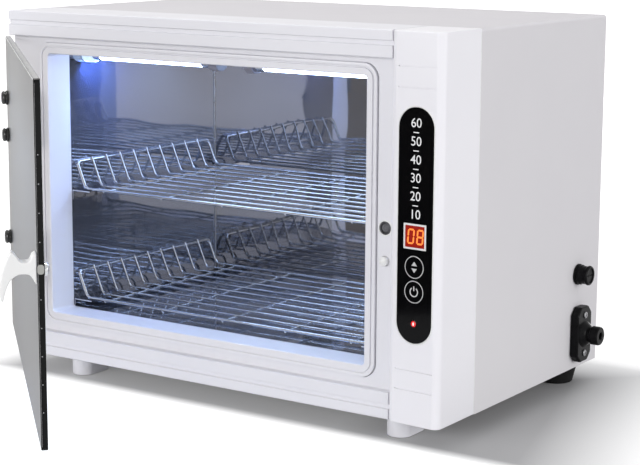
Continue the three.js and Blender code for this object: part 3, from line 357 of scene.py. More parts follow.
def gloss(material, shader, source, smooth, rough):
    """Lets the roughness wander between two values."""
    span = remapped(material, source, 0.3, 0.7, smooth, rough)
    wire_up(material, span, shader.inputs["Roughness"])


def relief(material, shader, source, height, strength=1.0):
    """Raises the surface by a height in metres where the source is bright."""
    bump = node(material, "Bump", Height=source, Distance=height, Strength=strength)
    wire_up(material, bump.outputs["Normal"], shader.inputs["Normal"])


# %% [markdown]
# The face and the column are injection-moulded in a cool white plastic. The mould is finely
# textured, so the gloss is soft, and large walls shrink a little, which shows as slow waves in
# a reflection. Both are noise, one fine and one broad, because noise has no seams.

# %% White moulded plastic
def moulded_plastic(name, pale, dark, roughness):
    material, shader = new_material(name, pale, roughness)
    tones(material, shader, noise(material, 9.0, 2.0), dark, pale)
    gloss(material, shader, noise(material, 60.0, 4.0), roughness - 0.04, roughness + 0.06)
    relief(material, shader, noise(material, 1400.0, 3.0), 0.00002, 0.5)
    shader.inputs["Specular IOR Level"].default_value = 0.45
    return material


WHITE_PLASTIC = moulded_plastic("white_plastic", (0.79, 0.785, 0.82), (0.765, 0.76, 0.80), 0.34)
# The column's copy of the white plastic is paler than the face's: painted light, for the brighter
# column.
COLUMN_PLASTIC_PAINTED_LIGHT = moulded_plastic("column_plastic_painted_light", (0.86, 0.85, 0.88), (0.845, 0.835, 0.87), 0.34)
HANDLE_PLASTIC = moulded_plastic("handle_plastic", (0.83, 0.83, 0.82), (0.80, 0.80, 0.79), 0.28)
print("plastics:", WHITE_PLASTIC.name, COLUMN_PLASTIC_PAINTED_LIGHT.name, HANDLE_PLASTIC.name)

# %% [markdown]
# The case is folded sheet steel with powder paint. Powder melts into a fine orange peel, so
# the relief is rounder and deeper than the plastic's, and the gloss is lower.

# %% Painted steel
def painted_steel(name, pale, dark):
    material, shader = new_material(name, pale, 0.62)
    shader.inputs["Specular IOR Level"].default_value = 0.12
    tones(material, shader, noise(material, 6.0, 3.0), dark, pale)
    gloss(material, shader, noise(material, 40.0, 3.0), 0.58, 0.68)
    relief(material, shader, noise(material, 520.0, 1.5), 0.00006, 0.45)
    return material


WHITE_PAINT = painted_steel("white_paint", (0.73, 0.715, 0.73), (0.705, 0.69, 0.71))
print("paint:", WHITE_PAINT.name)

# %% [markdown]
# Mirror-finished stainless sheet lines the chamber. It is bright but never flat: the sheet
# buckles a little between its folds, which bends every reflection into long waves. A slow,
# stretched noise gives the waves. A mirror alone would stay black next to a lamp, so a small
# share of the shader is left non-metallic: the thin haze on used steel that the blue light
# catches. The left wall, the floor and the ceiling get a copy with more of that share and a
# bluer tint: the blue is painted light, for the blue glow they show.

# %% Mirror steel, chrome and plain steel
def mirror_steel(name, tint, wave, metal=0.93):
    material, shader = new_material(name, tint, 0.03, metal)
    gloss(material, shader, noise(material, 30.0, 4.0), 0.015, 0.045)
    broad = noise(material, 9.0, 1.0, (1.0, 0.45, 1.6))
    relief(material, shader, broad, wave, 0.6)
    return material


def bright_chrome(name, tint):
    material, shader = new_material(name, tint, 0.11, 0.91)
    gloss(material, shader, noise(material, 350.0, 3.0), 0.07, 0.16)
    relief(material, shader, noise(material, 700.0, 2.0), 0.00002, 0.3)
    return material


def zinc_steel(name, pale, dark, roughness):
    material, shader = new_material(name, pale, roughness, 1.0)
    tones(material, shader, noise(material, 180.0, 4.0), dark, pale)
    gloss(material, shader, noise(material, 90.0, 4.0), roughness - 0.06, roughness + 0.1)
    relief(material, shader, noise(material, 900.0, 3.0, (1.0, 1.0, 0.1)), 0.00002, 0.4)
    return material


MIRROR_STEEL = mirror_steel("mirror_steel", (0.40, 0.393, 0.40), 0.0013)
HAZY_BLUE_PAINTED_STEEL = mirror_steel("hazy_steel_painted_blue", (0.345, 0.362, 0.42), 0.0013, 0.88)
RAIL_STEEL = mirror_steel("rail_steel", (0.62, 0.63, 0.67), 0.0004, 1.0)
CHROME = bright_chrome("chrome_wire", (0.58, 0.59, 0.60))
STEEL = zinc_steel("bright_steel", (0.62, 0.63, 0.65), (0.48, 0.49, 0.51), 0.28)
HINGE_STEEL = zinc_steel("hinge_steel", (0.34, 0.34, 0.35), (0.22, 0.22, 0.23), 0.34)
MAGNET_METAL = zinc_steel("magnet_metal", (0.13, 0.13, 0.14), (0.07, 0.07, 0.075), 0.5)
METALS = (MIRROR_STEEL, HAZY_BLUE_PAINTED_STEEL, RAIL_STEEL, CHROME, STEEL, HINGE_STEEL, MAGNET_METAL)
print("metals:", [metal.name for metal in METALS])

# %% [markdown]
# The door is dark grey glass with a satin outside. Transmission with a dark colour tints what
# is seen through it. At a low angle, which is how the photograph sees its outside, any glass
# turns into a mirror, and only the satin roughness keeps it a soft grey.

# %% Smoked glass
def smoked_glass(name, tint):
    material, shader = new_material(name, tint, 0.34)
    shader.inputs["Transmission Weight"].default_value = 1.0
    shader.inputs["IOR"].default_value = 1.5
    gloss(material, shader, noise(material, 3.0, 0.0), 0.37, 0.42)
    relief(material, shader, noise(material, 1.5, 0.0), 0.0002, 0.02)
    return material


DARK_GLASS = smoked_glass("dark_glass", (0.085, 0.077, 0.07))
print("glass:", DARK_GLASS.name)

# %% [markdown]
# Black parts differ by gloss alone, and that is what tells them apart: the panel's film is
# glossy, the nuts, the cap and the inlet are satin, and the feet are dull rubber.

# %% Black film, black plastic and rubber
def black_film(name):
    material, shader = new_material(name, (0.0015, 0.0015, 0.002), 0.1)
    shader.inputs["Specular IOR Level"].default_value = 0.1
    gloss(material, shader, noise(material, 120.0, 5.0), 0.07, 0.14)
    relief(material, shader, noise(material, 20.0, 2.0), 0.00008, 0.3)
    return material


def satin_black(name, colour, roughness, grain, shine=0.15):
    material, shader = new_material(name, colour, roughness)
    shader.inputs["Specular IOR Level"].default_value = shine
    tones(material, shader, noise(material, 200.0, 4.0), colour,
          tuple(1.7 * value for value in colour))
    gloss(material, shader, noise(material, 150.0, 3.0), roughness - 0.06, roughness + 0.08)
    relief(material, shader, noise(material, 1100.0, 3.0), grain, 0.6)
    return material


BLACK_FILM = black_film("panel_film")
BLACK_PLASTIC = satin_black("black_plastic", (0.004, 0.004, 0.0045), 0.3, 0.00003, 0.08)
NUT_PLASTIC = satin_black("nut_plastic", (0.004, 0.004, 0.004), 0.16, 0.00001, 0.5)
BLACK_RUBBER = satin_black("black_rubber", (0.009, 0.009, 0.009), 0.78, 0.00008)
GLASS_EDGE = satin_black("glass_edge", (0.003, 0.003, 0.003), 0.14, 0.00001, 0.12)
print("blacks:", BLACK_FILM.name, BLACK_PLASTIC.name, BLACK_RUBBER.name)

# %% [markdown]
# The tubes, the digits and the pilot lamp give light of their own. Emission on the Principled
# shader keeps the glassy surface and adds the glow. A discharge is brightest in the middle of
# the tube and a little uneven, so noise moves its colour between two blues.

# %% Things that glow
def glowing(name, colour, light, strength, roughness=0.2):
    material, shader = new_material(name, colour, roughness)
    shader.inputs["Emission Color"].default_value = (*light, 1.0)
    shader.inputs["Emission Strength"].default_value = strength
    tones(material, shader, noise(material, 160.0, 2.0), tuple(0.85 * v for v in colour), colour)
    gloss(material, shader, noise(material, 220.0, 2.0), roughness - 0.05, roughness + 0.05)
    return material


LAMP_GLASS = glowing("lamp_glass", (0.75, 0.82, 0.95), (0.47, 0.62, 1.0), 12.0)
DIGIT_GLOW = glowing("digit_glow", (0.5, 0.06, 0.01), (1.0, 0.30, 0.06), 1.05)
DISPLAY_RED = glowing("display_red", (0.14, 0.005, 0.003), (0.5, 0.012, 0.0), 0.4)
# A socket gives no light of its own: the glow on the first left socket is painted light.
SOCKET_PAINTED_GLOW = glowing("socket_painted_glow", (0.7, 0.74, 0.8), (0.55, 0.75, 1.0), 0.9, 0.4)
PILOT_RED = glowing("pilot_red", (0.5, 0.01, 0.01), (0.85, 0.02, 0.02), 0.6)
PILOT_CORE = glowing("pilot_core", (0.9, 0.5, 0.5), (1.0, 0.62, 0.6), 0.9)
# These two greys are painted light: a highlight on the door's edges and a glow patch on its free
# edge.
EDGE_HIGHLIGHT_GREY = moulded_plastic("edge_painted_highlight", (0.42, 0.42, 0.42), (0.36, 0.36, 0.36), 0.4)
EDGE_GLOW_GREY = moulded_plastic("edge_painted_glow", (0.40, 0.40, 0.38), (0.32, 0.32, 0.30), 0.4)
PRINT_WHITE = moulded_plastic("print_white", (0.86, 0.86, 0.86), (0.78, 0.78, 0.78), 0.5)
PRINT_GREY = moulded_plastic("print_grey", (0.58, 0.58, 0.58), (0.50, 0.50, 0.50), 0.5)
SOCKET_PLASTIC = moulded_plastic("socket_plastic", (0.36, 0.35, 0.40), (0.30, 0.29, 0.34), 0.42)
print("lights:", LAMP_GLASS.name, DIGIT_GLOW.name, DISPLAY_RED.name, PILOT_RED.name)

# %% [markdown]
# Behind the walls sit a circuit board and the lamp gear. They show only if the case is opened,
# but a part that is reused gets taken apart, so they have their finishes as well: green lacquer
# over copper tracks, and galvanised sheet with its large crystals.

# %% Circuit board and galvanised sheet
def circuit_board(name):
    material, shader = new_material(name, (0.012, 0.10, 0.035), 0.35)
    tracks = node(material, "TexBrick", Vector=node(material, "TexCoord").outputs["Object"],
                  Scale=260.0, Mortar_Size=0.02, Color1=(0.010, 0.09, 0.03, 1.0),
                  Color2=(0.014, 0.12, 0.04, 1.0), Mortar=(0.05, 0.22, 0.07, 1.0))
    wire_up(material, tracks.outputs["Color"], shader.inputs["Base Color"])
    return material


def galvanised(name):
    material, shader = new_material(name, (0.55, 0.56, 0.58), 0.4, 1.0)
    cells = node(material, "TexVoronoi", Vector=node(material, "TexCoord").outputs["Object"],
                 Scale=90.0).outputs["Distance"]
    tones(material, shader, cells, (0.62, 0.63, 0.65), (0.44, 0.45, 0.47), 0.1, 0.7)
    return material


BOARD_GREEN = circuit_board("circuit_board")
BALLAST_STEEL = galvanised("ballast_steel")
print("inside:", BOARD_GREEN.name, BALLAST_STEEL.name)

# %% [markdown]
# The camera comes before the pieces, so that each can be checked against the photograph at
# once. Its place and lens were solved from the cabinet's straight edges, since a camera that is
# moved by hand never fits all of them.

# %% Camera
def aim_camera(place, azimuth, elevation, roll, lens):
    turn, tilt, lean = (math.radians(value) for value in (azimuth, elevation, roll))
    forward = Vector((
        -math.sin(turn) * math.cos(tilt), math.cos(turn) * math.cos(tilt), -math.sin(tilt),
    ))
    level = Vector((math.cos(turn), math.sin(turn), 0.0))
    above = level.cross(forward)
    right = level * math.cos(lean) + above * math.sin(lean)
    up = above * math.cos(lean) - level * math.sin(lean)
    data = bpy.data.cameras.new("camera")
    data.lens, data.sensor_width, data.sensor_fit = lens, 36.0, "HORIZONTAL"
    data.clip_end = 200.0
    camera = make_object("camera", data)
    camera.matrix_world = Matrix((right, up, -forward)).transposed().to_4x4()
    camera.location = place
    bpy.context.scene.camera = camera
    return camera


camera = aim_camera((0.9212, -1.3436, 0.4139), azimuth=33.928, elevation=10.41, roll=0.338,
                    lens=101.08)
looks_along = camera.matrix_world.to_3x3() @ Vector((0, 0, -1))
print("camera looks along", [round(value, 3) for value in looks_along])

# %% [markdown]
# The face is one moulding: two bands with a groove in each, and the recess for the door between
# them. Its section in Y and Z hardly changes over the width, so it is lofted along X from the
# section alone. Only near the left end does it change, where the front edge and the two outer
# corners are rounded.

# %% Face moulding: its section
BAND, RECESS, GROOVE = 22.75, 7.5, 2.0
BAND_TOP = HEIGHT - BAND
GROOVE_LOW, GROOVE_HIGH = 8.75, 12.75
BOTTOM_CORNER, TOP_CORNER = 10.0, 3.0
END_ROUND = 1.3


def fall(distance, radius):
    """How far a round edge has fallen away at a distance from its end."""
    if distance >= radius:
        return 0.0
    return radius - math.sqrt(radius**2 - (radius - distance) ** 2)


def face_section(x):
    back = fall(x, END_ROUND) + fall(FACE_RIGHT - x, 0.5)
    low = min(fall(x, BOTTOM_CORNER), 7.0)
    high = HEIGHT - fall(x, TOP_CORNER)
    front, groove, recess = back, GROOVE + back, RECESS + back
    groove_top = HEIGHT - GROOVE_HIGH, HEIGHT - GROOVE_LOW
    return bend([
        (FACE_DEPTH, low, 0), (front, low, 1.2),
        (front, GROOVE_LOW, 0.5), (groove, GROOVE_LOW, 0.5),
        (groove, GROOVE_HIGH, 0.5), (front, GROOVE_HIGH, 0.5),
        (front, BAND, 1.0), (recess, BAND, 0.9),
        (recess, BAND_TOP, 0.9), (front, BAND_TOP, 1.0),
        (front, groove_top[0], 0.5), (groove, groove_top[0], 0.5),
        (groove, groove_top[1], 0.5), (front, groove_top[1], 0.5),
        (front, high, 1.2), (FACE_DEPTH, high, 0),
    ], steps=4)


def face_stations():
    """Where the sections stand: close together at the ends."""
    left = [0.0, 0.08, 0.25, 0.5, 0.85, 1.3, 2.0, 3.0, 4.2, 5.6, 7.2, 8.8, 10.0]
    return left + [FACE_RIGHT - 0.5, FACE_RIGHT - 0.2, FACE_RIGHT - 0.05, FACE_RIGHT]


print("face section has", len(face_section(50.0)), "points at", len(face_stations()), "stations")

# %% [markdown]
# A moulding is a shell, so the solid is hollowed from behind. The opening is cut wide enough for
# the bead's own ring to stand in it, and two round holes take the magnet and the switch.

# %% Face moulding: hollow, opening and holes
OPEN_LEFT, OPEN_RIGHT, OPEN_LOW, OPEN_HIGH = 42.0, 383.0, 40.5, 278.5
CATCH_X, CATCH_Z, PLUNGER_Z = 401.0, 156.5, 129.5
SKIN, RIM_WALL, BEAD_ROOM = 10.0, 2.5, 6.0
PAST = 60.0

face = loft("face_shell", [on_x(face_section(x), x) for x in face_stations()])
inside_outline = tile(SKIN, FACE_RIGHT - RIM_WALL, SKIN, HEIGHT - RIM_WALL, 0.5)
opening_outline = tile(OPEN_LEFT - BEAD_ROOM, OPEN_RIGHT + BEAD_ROOM,
                       OPEN_LOW - BEAD_ROOM, OPEN_HIGH + BEAD_ROOM, 8.0)
round_holes = [
    turned("hole", [(radius, 4.0), (radius, 14.0)], "Y", (CATCH_X, z))
    for radius, z in ((5.7, CATCH_Z), (4.3, PLUNGER_Z))
]
cut(face, slab("hollow", inside_outline, SKIN, PAST, 0.2, on_y),
    slab("opening", opening_outline, -2.0, PAST, 0.1, on_y), *round_holes)

# %% [markdown]
# A raised bead frames the opening, and the jamb runs back from it to the steel lining. The two
# are one ring: a loop of the rounded rectangle goes up the bead's outer edge, over its front
# and down the jamb, then back behind. Each loop differs only in how far out it stands. A round
# ridge and a groove run along the bead's outer edge, and a narrow gap parts it from the face.

# %% Bead and jamb
def opening_ring(out, y):
    outline = rounded(OPEN_LEFT - out, OPEN_RIGHT + out, OPEN_LOW - out, OPEN_HIGH + out,
                      3.0 + out, 12)
    return on_y(outline, y)


BEAD_OUT, BEAD_FRONT, JAMB_END = 10.0, 5.5, 34.75
GAP_IN, GAP_OUT, GAP_FRONT, GAP_BACK = BEAD_OUT - 0.4, BEAD_OUT + 0.7, 5.0, 9.3
gap_path = [(GAP_IN, GAP_FRONT), (GAP_OUT, GAP_FRONT), (GAP_OUT, GAP_BACK), (GAP_IN, GAP_BACK)]
cut(face, loft("gap", [opening_ring(*step) for step in gap_path], ring=True))
finish(face, "cabinet", "white_plastic", WHITE_PLASTIC, "face_moulding")

RIDGE, RIDGE_RISE, CHANNEL_DEPTH, INNER_ROUND = 1.5, 0.45, 1.2, 1.1
JAMB_WALL, BEAD_BACK = 2.5, 9.6
bead_path = [(BEAD_OUT, BEAD_BACK), (BEAD_OUT, BEAD_FRONT + 0.6)]
for k in range(9):
    angle = math.pi * k / 8
    bead_path.append((BEAD_OUT - RIDGE * (1 - math.cos(angle)),
                      BEAD_FRONT - RIDGE_RISE * math.sin(angle)))
channel_out, channel_bed = BEAD_OUT - 2 * RIDGE, BEAD_FRONT + CHANNEL_DEPTH
bead_path += [(channel_out - 0.1, channel_bed), (channel_out - 0.9, channel_bed),
              (channel_out - 1.3, BEAD_FRONT)]
for k in range(6):
    angle = k / 5 * math.pi / 2
    bead_path.append((INNER_ROUND * (1 - math.sin(angle)),
                      BEAD_FRONT + INNER_ROUND * (1 - math.cos(angle))))
bead_path += [(0.0, JAMB_END), (JAMB_WALL, JAMB_END), (JAMB_WALL, BEAD_BACK)]
bead = loft("opening_bead", [opening_ring(*step) for step in bead_path], ring=True)
finish(bead, "cabinet", "white_plastic", WHITE_PLASTIC)

# %% [markdown]
# The control column's front leans forwards to the right and turns into both its sides with a
# large radius. Its plan goes up in Z, drawn in at the top and bottom for the soft ends. The pocket
# for the panel, the openings in it and the four fine lines are cut afterwards. A thin lip goes
# round the panel, and another covers the seam between the column and the case.

# %% Control column
COLUMN_LEFT, COLUMN_FRONT = 410.5, -2.0
FILM_WIDE, FILM_TALL = 33.0, 189.0
DISPLAY_Z, SELECT_Z, POWER_Z, LIGHT_Z = -8.0, -32.5, -52.5, -78.5
LINE_HEIGHTS, LINE_HALF, LINE_DEPTH = (289.0, 272.5, 45.5, 29.0), 0.5, 1.1


def column_plan(inset):
    left, right = COLUMN_LEFT + inset, WIDTH - inset
    front_left = COLUMN_FRONT - COLUMN_SLOPE * inset + inset
    front_right = COLUMN_FRONT - COLUMN_SLOPE * (right - COLUMN_LEFT) + inset
    return bend([
        (left, FACE_DEPTH, 0), (left, front_left, 5.4 - inset),
        (right, front_right, 7.0 - inset), (right, FACE_DEPTH, 0),
    ], steps=10)


def film_outline(spare):
    """The panel's outline with its round ends, wider and taller by spare."""
    wide, tall = (FILM_WIDE + spare) / 2, (FILM_TALL + spare) / 2
    return tile(-wide, wide, -tall, tall, wide - 0.01, 16)


def display_outline(wide, tall, radius):
    return tile(-wide, wide, DISPLAY_Z - tall, DISPLAY_Z + tall, radius)


def panel_holes(key_radius, back, key_steps, light_steps):
    """Cutters for the two keys and the pilot lamp."""
    spots = ((key_radius, SELECT_Z, key_steps), (key_radius, POWER_Z, key_steps),
             (3.3, LIGHT_Z, light_steps))
    return [
        turned("hole", [(radius, -3.0), (radius, back)], "Y", (0.0, z), steps)
        for radius, z, steps in spots
    ]


def in_panel(piece):
    """Moves a cutter from the panel's own frame to the cabinet's."""
    piece.data.transform(CABINET.inverted() @ PANEL)
    return piece


column = slab("control_column_shell", column_plan, 0.0, HEIGHT, 1.2, on_z)
cutters = [
    slab("pocket", film_outline(0.6), -3.0, 0.8, 0.05, on_y),
    slab("window", display_outline(11.1, 10.55, 0.3), -3.0, 9.0, 0.05, on_y),
    *panel_holes(9.5, 9.0, 40, 40),
]
for z in LINE_HEIGHTS:
    middle = z - PANEL_Z
    outline = tile(-18.25, 18.25, middle - LINE_HALF, middle + LINE_HALF, 0.3)
    cutters.append(slab("line", outline, -1.0, LINE_DEPTH, 0.05, on_y))
cut(column, *(in_panel(piece) for piece in cutters))
finish(column, "cabinet", "white_plastic", COLUMN_PLASTIC_PAINTED_LIGHT, "control_column")

lip = slab("panel_lip", film_outline(2.8), -0.35, 1.2, 0.3, on_y)
cut(lip, slab("lip_hole", film_outline(0.7), -3.0, 3.0, 0.05, on_y))
finish(lip, "cabinet", "white_plastic", HANDLE_PLASTIC, place=PANEL)

seam_outline = tile(WIDTH - 0.8, WIDTH + 0.12, FACE_DEPTH - 0.65, FACE_DEPTH + 0.25, 0.4, 4)
seam_lip = slab("column_seam_lip", seam_outline, 1.0, HEIGHT - 3.0, 0.2, on_z)
finish(seam_lip, "cabinet", "white_plastic", HANDLE_PLASTIC)

# %% [markdown]
# The case is one sheet folded into an upside-down U. The thickness of the sheet and the radius
# of its two bends are what make it look like folded metal, so the outline carries both. The
# Solidify modifier on a bent plane could do it too, but here both radii can be read off.

# %% Folded case
SHEET = 1.2


def wrap_outline(inset):
    inner = SHEET - 0.1
    return bend([
        (inset, 0.0, 0), (inset, HEIGHT - inset, 3.0),
        (WIDTH - inset, HEIGHT - inset, 3.0), (WIDTH - inset, 0.0, 0),
        (WIDTH - inner, 0.0, 0), (WIDTH - inner, HEIGHT - inner, 1.8),
        (inner, HEIGHT - inner, 1.8), (inner, 0.0, 0),
    ], steps=8)


wrap = slab("case_sheet", wrap_outline, FACE_DEPTH + 0.3, DEPTH, 0.4, on_y)
finish(wrap, "cabinet", "white_paint", WHITE_PAINT, "case_wrap")

# %% [markdown]
# The back is a flat panel with two banks of vent slots near the top and six screws. The slots
# have round ends, because a punch makes them so. All of them are cut at once by one joined
# cutter, which is faster than sixteen cuts and leaves a cleaner mesh.

# %% Rear panel and its screws
SLOT_LONG, SLOT_TALL, SLOT_PITCH, SLOT_ROWS, SLOT_TOP = 50.0, 3.0, 9.0, 8, 30.0
back_outline = tile(1.5, WIDTH - 1.5, 0.0, 313.2, 1.5)
back_panel = slab("back_panel", back_outline, DEPTH - SHEET, DEPTH, 0.25, on_y)
slot_cutters = []
for row in range(SLOT_ROWS):
    low = HEIGHT - SLOT_TOP - row * SLOT_PITCH - SLOT_TALL
    for left in (30.0, 380.0):
        outline = tile(left, left + SLOT_LONG, low, low + SLOT_TALL, 1.49, 8)
        slot_cutters.append(slab("slot", outline, DEPTH - 4.0, DEPTH + 4.0, 0.02, on_y))
cut(back_panel, joined("slots", slot_cutters))
finish(back_panel, "cabinet", "white_paint", WHITE_PAINT, "rear_panel")


def pan_head(name, axis, centre, seat, out, radius, rise):
    """A pan-head screw with a cross recess. out is +1 or -1 along the axis."""
    profile = [(0.0, seat + out * rise)]
    for share in (0.25, 0.5, 0.7, 0.85, 0.95, 1.0):
        angle = share * math.pi / 2
        height = rise * (0.35 + 0.65 * math.cos(angle))
        profile.append((radius * math.sin(angle), seat + out * height))
    profile += [(radius, seat), (0.0, seat)]
    head = turned(name, profile, axis, centre, 24)
    half, length = 0.11 * radius, 0.58 * radius
    on = {"X": on_x, "Y": on_y}[axis]
    span = sorted((seat + out * 0.45 * rise, seat + out * 2.0 * rise))
    bars = []
    for a, b in ((half, length), (length, half)):
        outline = tile(centre[0] - a, centre[0] + a, centre[1] - b, centre[1] + b, 0.05)
        bars.append(slab("bar", outline, *span, 0.02, on))
    return cut(head, *bars)


rear_screws = [
    pan_head("screw", "Y", (x, z), DEPTH, 1.0, 3.2, 1.9)
    for x in (9.0, 230.0, 451.0) for z in (9.0, 304.0)
]
finish(joined("rear_screws", rear_screws), "cabinet", "steel", STEEL)

# %% [markdown]
# The front stands on two long white feet with rounded ends, the back on two round rubber feet
# with a recess for a screw. Both are a little smaller at the floor than at the case, which a
# plain box or cylinder wouldn't show, so one kind is lofted and the other is turned.

# %% Feet
FOOT_HALF, FOOT_FRONT, FOOT_BACK, REAR_FOOT_Y = 11.0, 11.0, 51.0, 253.0


def front_foot(name, x, node_name):
    outline = tile(x - FOOT_HALF, x + FOOT_HALF, FOOT_FRONT, FOOT_BACK, 10.9, 10)
    rings = [(1.8, -18.0), (1.0, -17.8), (0.5, -17.3), (0.3, -16.4), (0.0, -3.0), (0.0, -0.3)]
    piece = loft(name, [on_z(outline(inset), z) for inset, z in rings])
    return finish(piece, "cabinet", "white_plastic", WHITE_PLASTIC, node_name)


def rear_foot(name, x, node_name):
    profile = [(0.0, -12.0), (4.0, -12.0), (4.0, -17.4), (4.6, -18.0), (14.2, -18.0),
               (15.2, -17.6), (15.8, -16.8), (19.3, -2.2), (19.6, -1.2), (19.6, -0.3), (0.0, -0.3)]
    piece = turned(name, profile, "Z", (x, REAR_FOOT_Y), 48)
    return finish(piece, "cabinet", "black_rubber", BLACK_RUBBER, node_name)


front_foot("foot_front_left", 65.0, "front_foot_left")
front_foot("foot_front_right", 409.0, "front_foot_right")
rear_foot("foot_rear_left", 25.0, "rear_foot_left")
rear_foot("foot_rear_right", 435.0, "rear_foot_right")

# %% [markdown]
# The racks are bent and welded from chromed wire: a thick frame that runs round and up over
# both fences, nine thin wires that turn up at their ends, and five wires under the floor. A
# curve with a round bevel is the natural way to make wire. It becomes a mesh at the end, and
# small beads mark the spot welds.

# %% Wire
def wires(name, runs):
    """runs are (corners, thickness, closed). Corners carry the radius of their bend."""
    curve = bpy.data.curves.new(name, "CURVE")
    curve.dimensions = "3D"
    curve.bevel_depth = 0.5
    curve.bevel_resolution = 3
    curve.use_fill_caps = True
    for corners, thickness, closed in runs:
        points = bend(corners, 6, closed)
        spline = curve.splines.new("POLY")
        spline.points.add(len(points) - 1)
        spline.use_cyclic_u = closed
        for point, place in zip(spline.points, points):
            point.co = (*place, 1.0)
            point.radius = thickness
    return as_mesh_object(name, make_object(name + "_curve", curve))


def weld_beads(name, places, radius):
    work = bmesh.new()
    for place in places:
        bmesh.ops.create_icosphere(
            work, subdivisions=2, radius=radius, matrix=Matrix.Translation(place)
        )
    return from_work(name, work)


# %% [markdown]
# The two racks are alike, so one function makes both. The frame leans outwards where it rises
# into the fence, and each thin wire follows it just inside and ends a little above its rail.

# %% Racks
MIDDLE, HALF, LEAN, FENCE = 212.5, 157.5, 10.5, 24.0
RACK_FRONT, RACK_REAR = 39.55, 238.5
FRAME_WIRE, THIN_WIRE = 3.0, 2.2
BESIDE, TIP = 2.1, 2.5
THIN_WIRES, BEND, WELD = 9, 4.0, 1.25
SUPPORT_REACH = 136.0
SUPPORTS = [MIDDLE + share * SUPPORT_REACH for share in (-1.0, -0.5, 0.0, 0.5, 1.0)]


def rack(name, floor, body, node_name):
    low_l, low_r = MIDDLE - HALF, MIDDLE + HALF
    high_l, high_r, rail = low_l - LEAN, low_r + LEAN, floor + FENCE
    frame_run = [
        (low_l, RACK_FRONT, floor, BEND), (low_r, RACK_FRONT, floor, BEND),
        (high_r, RACK_FRONT, rail, BEND), (high_r, RACK_REAR, rail, BEND),
        (low_r, RACK_REAR, floor, BEND), (low_l, RACK_REAR, floor, BEND),
        (high_l, RACK_REAR, rail, BEND), (high_l, RACK_FRONT, rail, BEND),
    ]
    foot = HALF - BESIDE
    tip = foot + LEAN * (1 + TIP / FENCE)
    runs = [(frame_run, FRAME_WIRE, True)]
    beads = []
    for i in range(1, THIN_WIRES + 1):
        y = RACK_FRONT + (RACK_REAR - RACK_FRONT) * i / (THIN_WIRES + 1)
        runs.append(([
            (MIDDLE - tip, y, rail + TIP, 0), (MIDDLE - foot, y, floor, 3),
            (MIDDLE + foot, y, floor, 3), (MIDDLE + tip, y, rail + TIP, 0),
        ], THIN_WIRE, False))
        beads += [(x, y, floor - 0.85) for x in SUPPORTS]
        beads += [(MIDDLE + side * (HALF + LEAN - 1.2), y, rail) for side in (-1, 1)]
    under = floor - 1.7
    for x in SUPPORTS:
        runs.append(([(x, RACK_FRONT, under, 0), (x, RACK_REAR, under, 0)], THIN_WIRE, False))
        beads += [(x, y, floor - 0.9) for y in (RACK_FRONT, RACK_REAR)]
    piece = joined(name, [wires(name + "_wire", runs), weld_beads(name + "_beads", beads, WELD)])
    return finish(piece, body, "chrome_wire", CHROME, node_name, limit=60.0)


rack("rack_upper", 152.5, "upper_rack_body", "upper_rack")
rack("rack_lower", 49.5, "lower_rack_body", "lower_rack")

# %% [markdown]
# The sheets of the lining and the rails are flat metal whose solids already have the right
# shape, so they stay and only get their finish. The same goes for what is hidden inside.

# %% Pieces that stay as they are
def dress(material, *names):
    for name in names:
        for material_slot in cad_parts[name].material_slots:
            material_slot.material = material
    print(material.name, "on", len(names), "solids")


# These three sheets get the bluer copy of the mirror steel: the blue is painted light.
dress(HAZY_BLUE_PAINTED_STEEL, "chamber_left_wall", "chamber_floor", "chamber_ceiling")
dress(MIRROR_STEEL, "chamber_right_wall", "chamber_back_mirror")
dress(RAIL_STEEL, "upper_rail_left", "upper_rail_right", "lower_rail_left", "lower_rail_right")
dress(WHITE_PAINT, "base_panel")
dress(BLACK_PLASTIC, "switch_body", "fuse_holder_nut")
dress(BOARD_GREEN, "control_board")
dress(BALLAST_STEEL, "ballast")
dress(STEEL, "fuse", "upper_hinge_pin", "lower_hinge_pin")

# %% [markdown]
# Where the side walls meet the back mirror, their folded edges show as one bright line from
# floor to ceiling. Two plain sheets that meet would show no line at all, so a thin strip with
# round edges stands in each corner. The strips take the paler plain steel, not the mirror steel:
# their bright line is partly what the round edges catch and partly painted highlight.

# %% Folded edges of the lining
LINING_BACK, CEILING, EDGE_WIDE = 253.3, 289.9, 1.1
for name, left in (("left", OPEN_LEFT), ("right", OPEN_RIGHT - EDGE_WIDE)):
    outline = tile(left, left + EDGE_WIDE, LINING_BACK - EDGE_WIDE, LINING_BACK, 0.35, 4)
    edge = slab(f"lining_edge_{name}", outline, OPEN_LOW + 0.1, CEILING, 0.1, on_z)
    finish(edge, "cabinet", "mirror_steel", STEEL)

# %% [markdown]
# Two slim tubes hang end to end under the ceiling. Each is a glass tube that glows, with a
# metal cap crimped on either end, and clips into two moulded sockets with round shoulders. One
# glowing cylinder would look like a drawn line, so glass and caps are pieces of their own. The
# first socket on the left glows a little: painted light, for the haze of its tube on it.

# %% Tubes and sockets
TUBE_Y, TUBE_Z = 59.75, 277.5
TUBE_SPANS = {"left": (52.6, 187.7), "right": (237.3, 372.4)}
SOCKETS = {"left": (42.3, 188.0), "right": (227.0, 372.7)}
SOCKET_HALF, SOCKET_LOW, SOCKET_HIGH, SOCKET_THICK = 9.0, 267.5, 289.7, 10.0


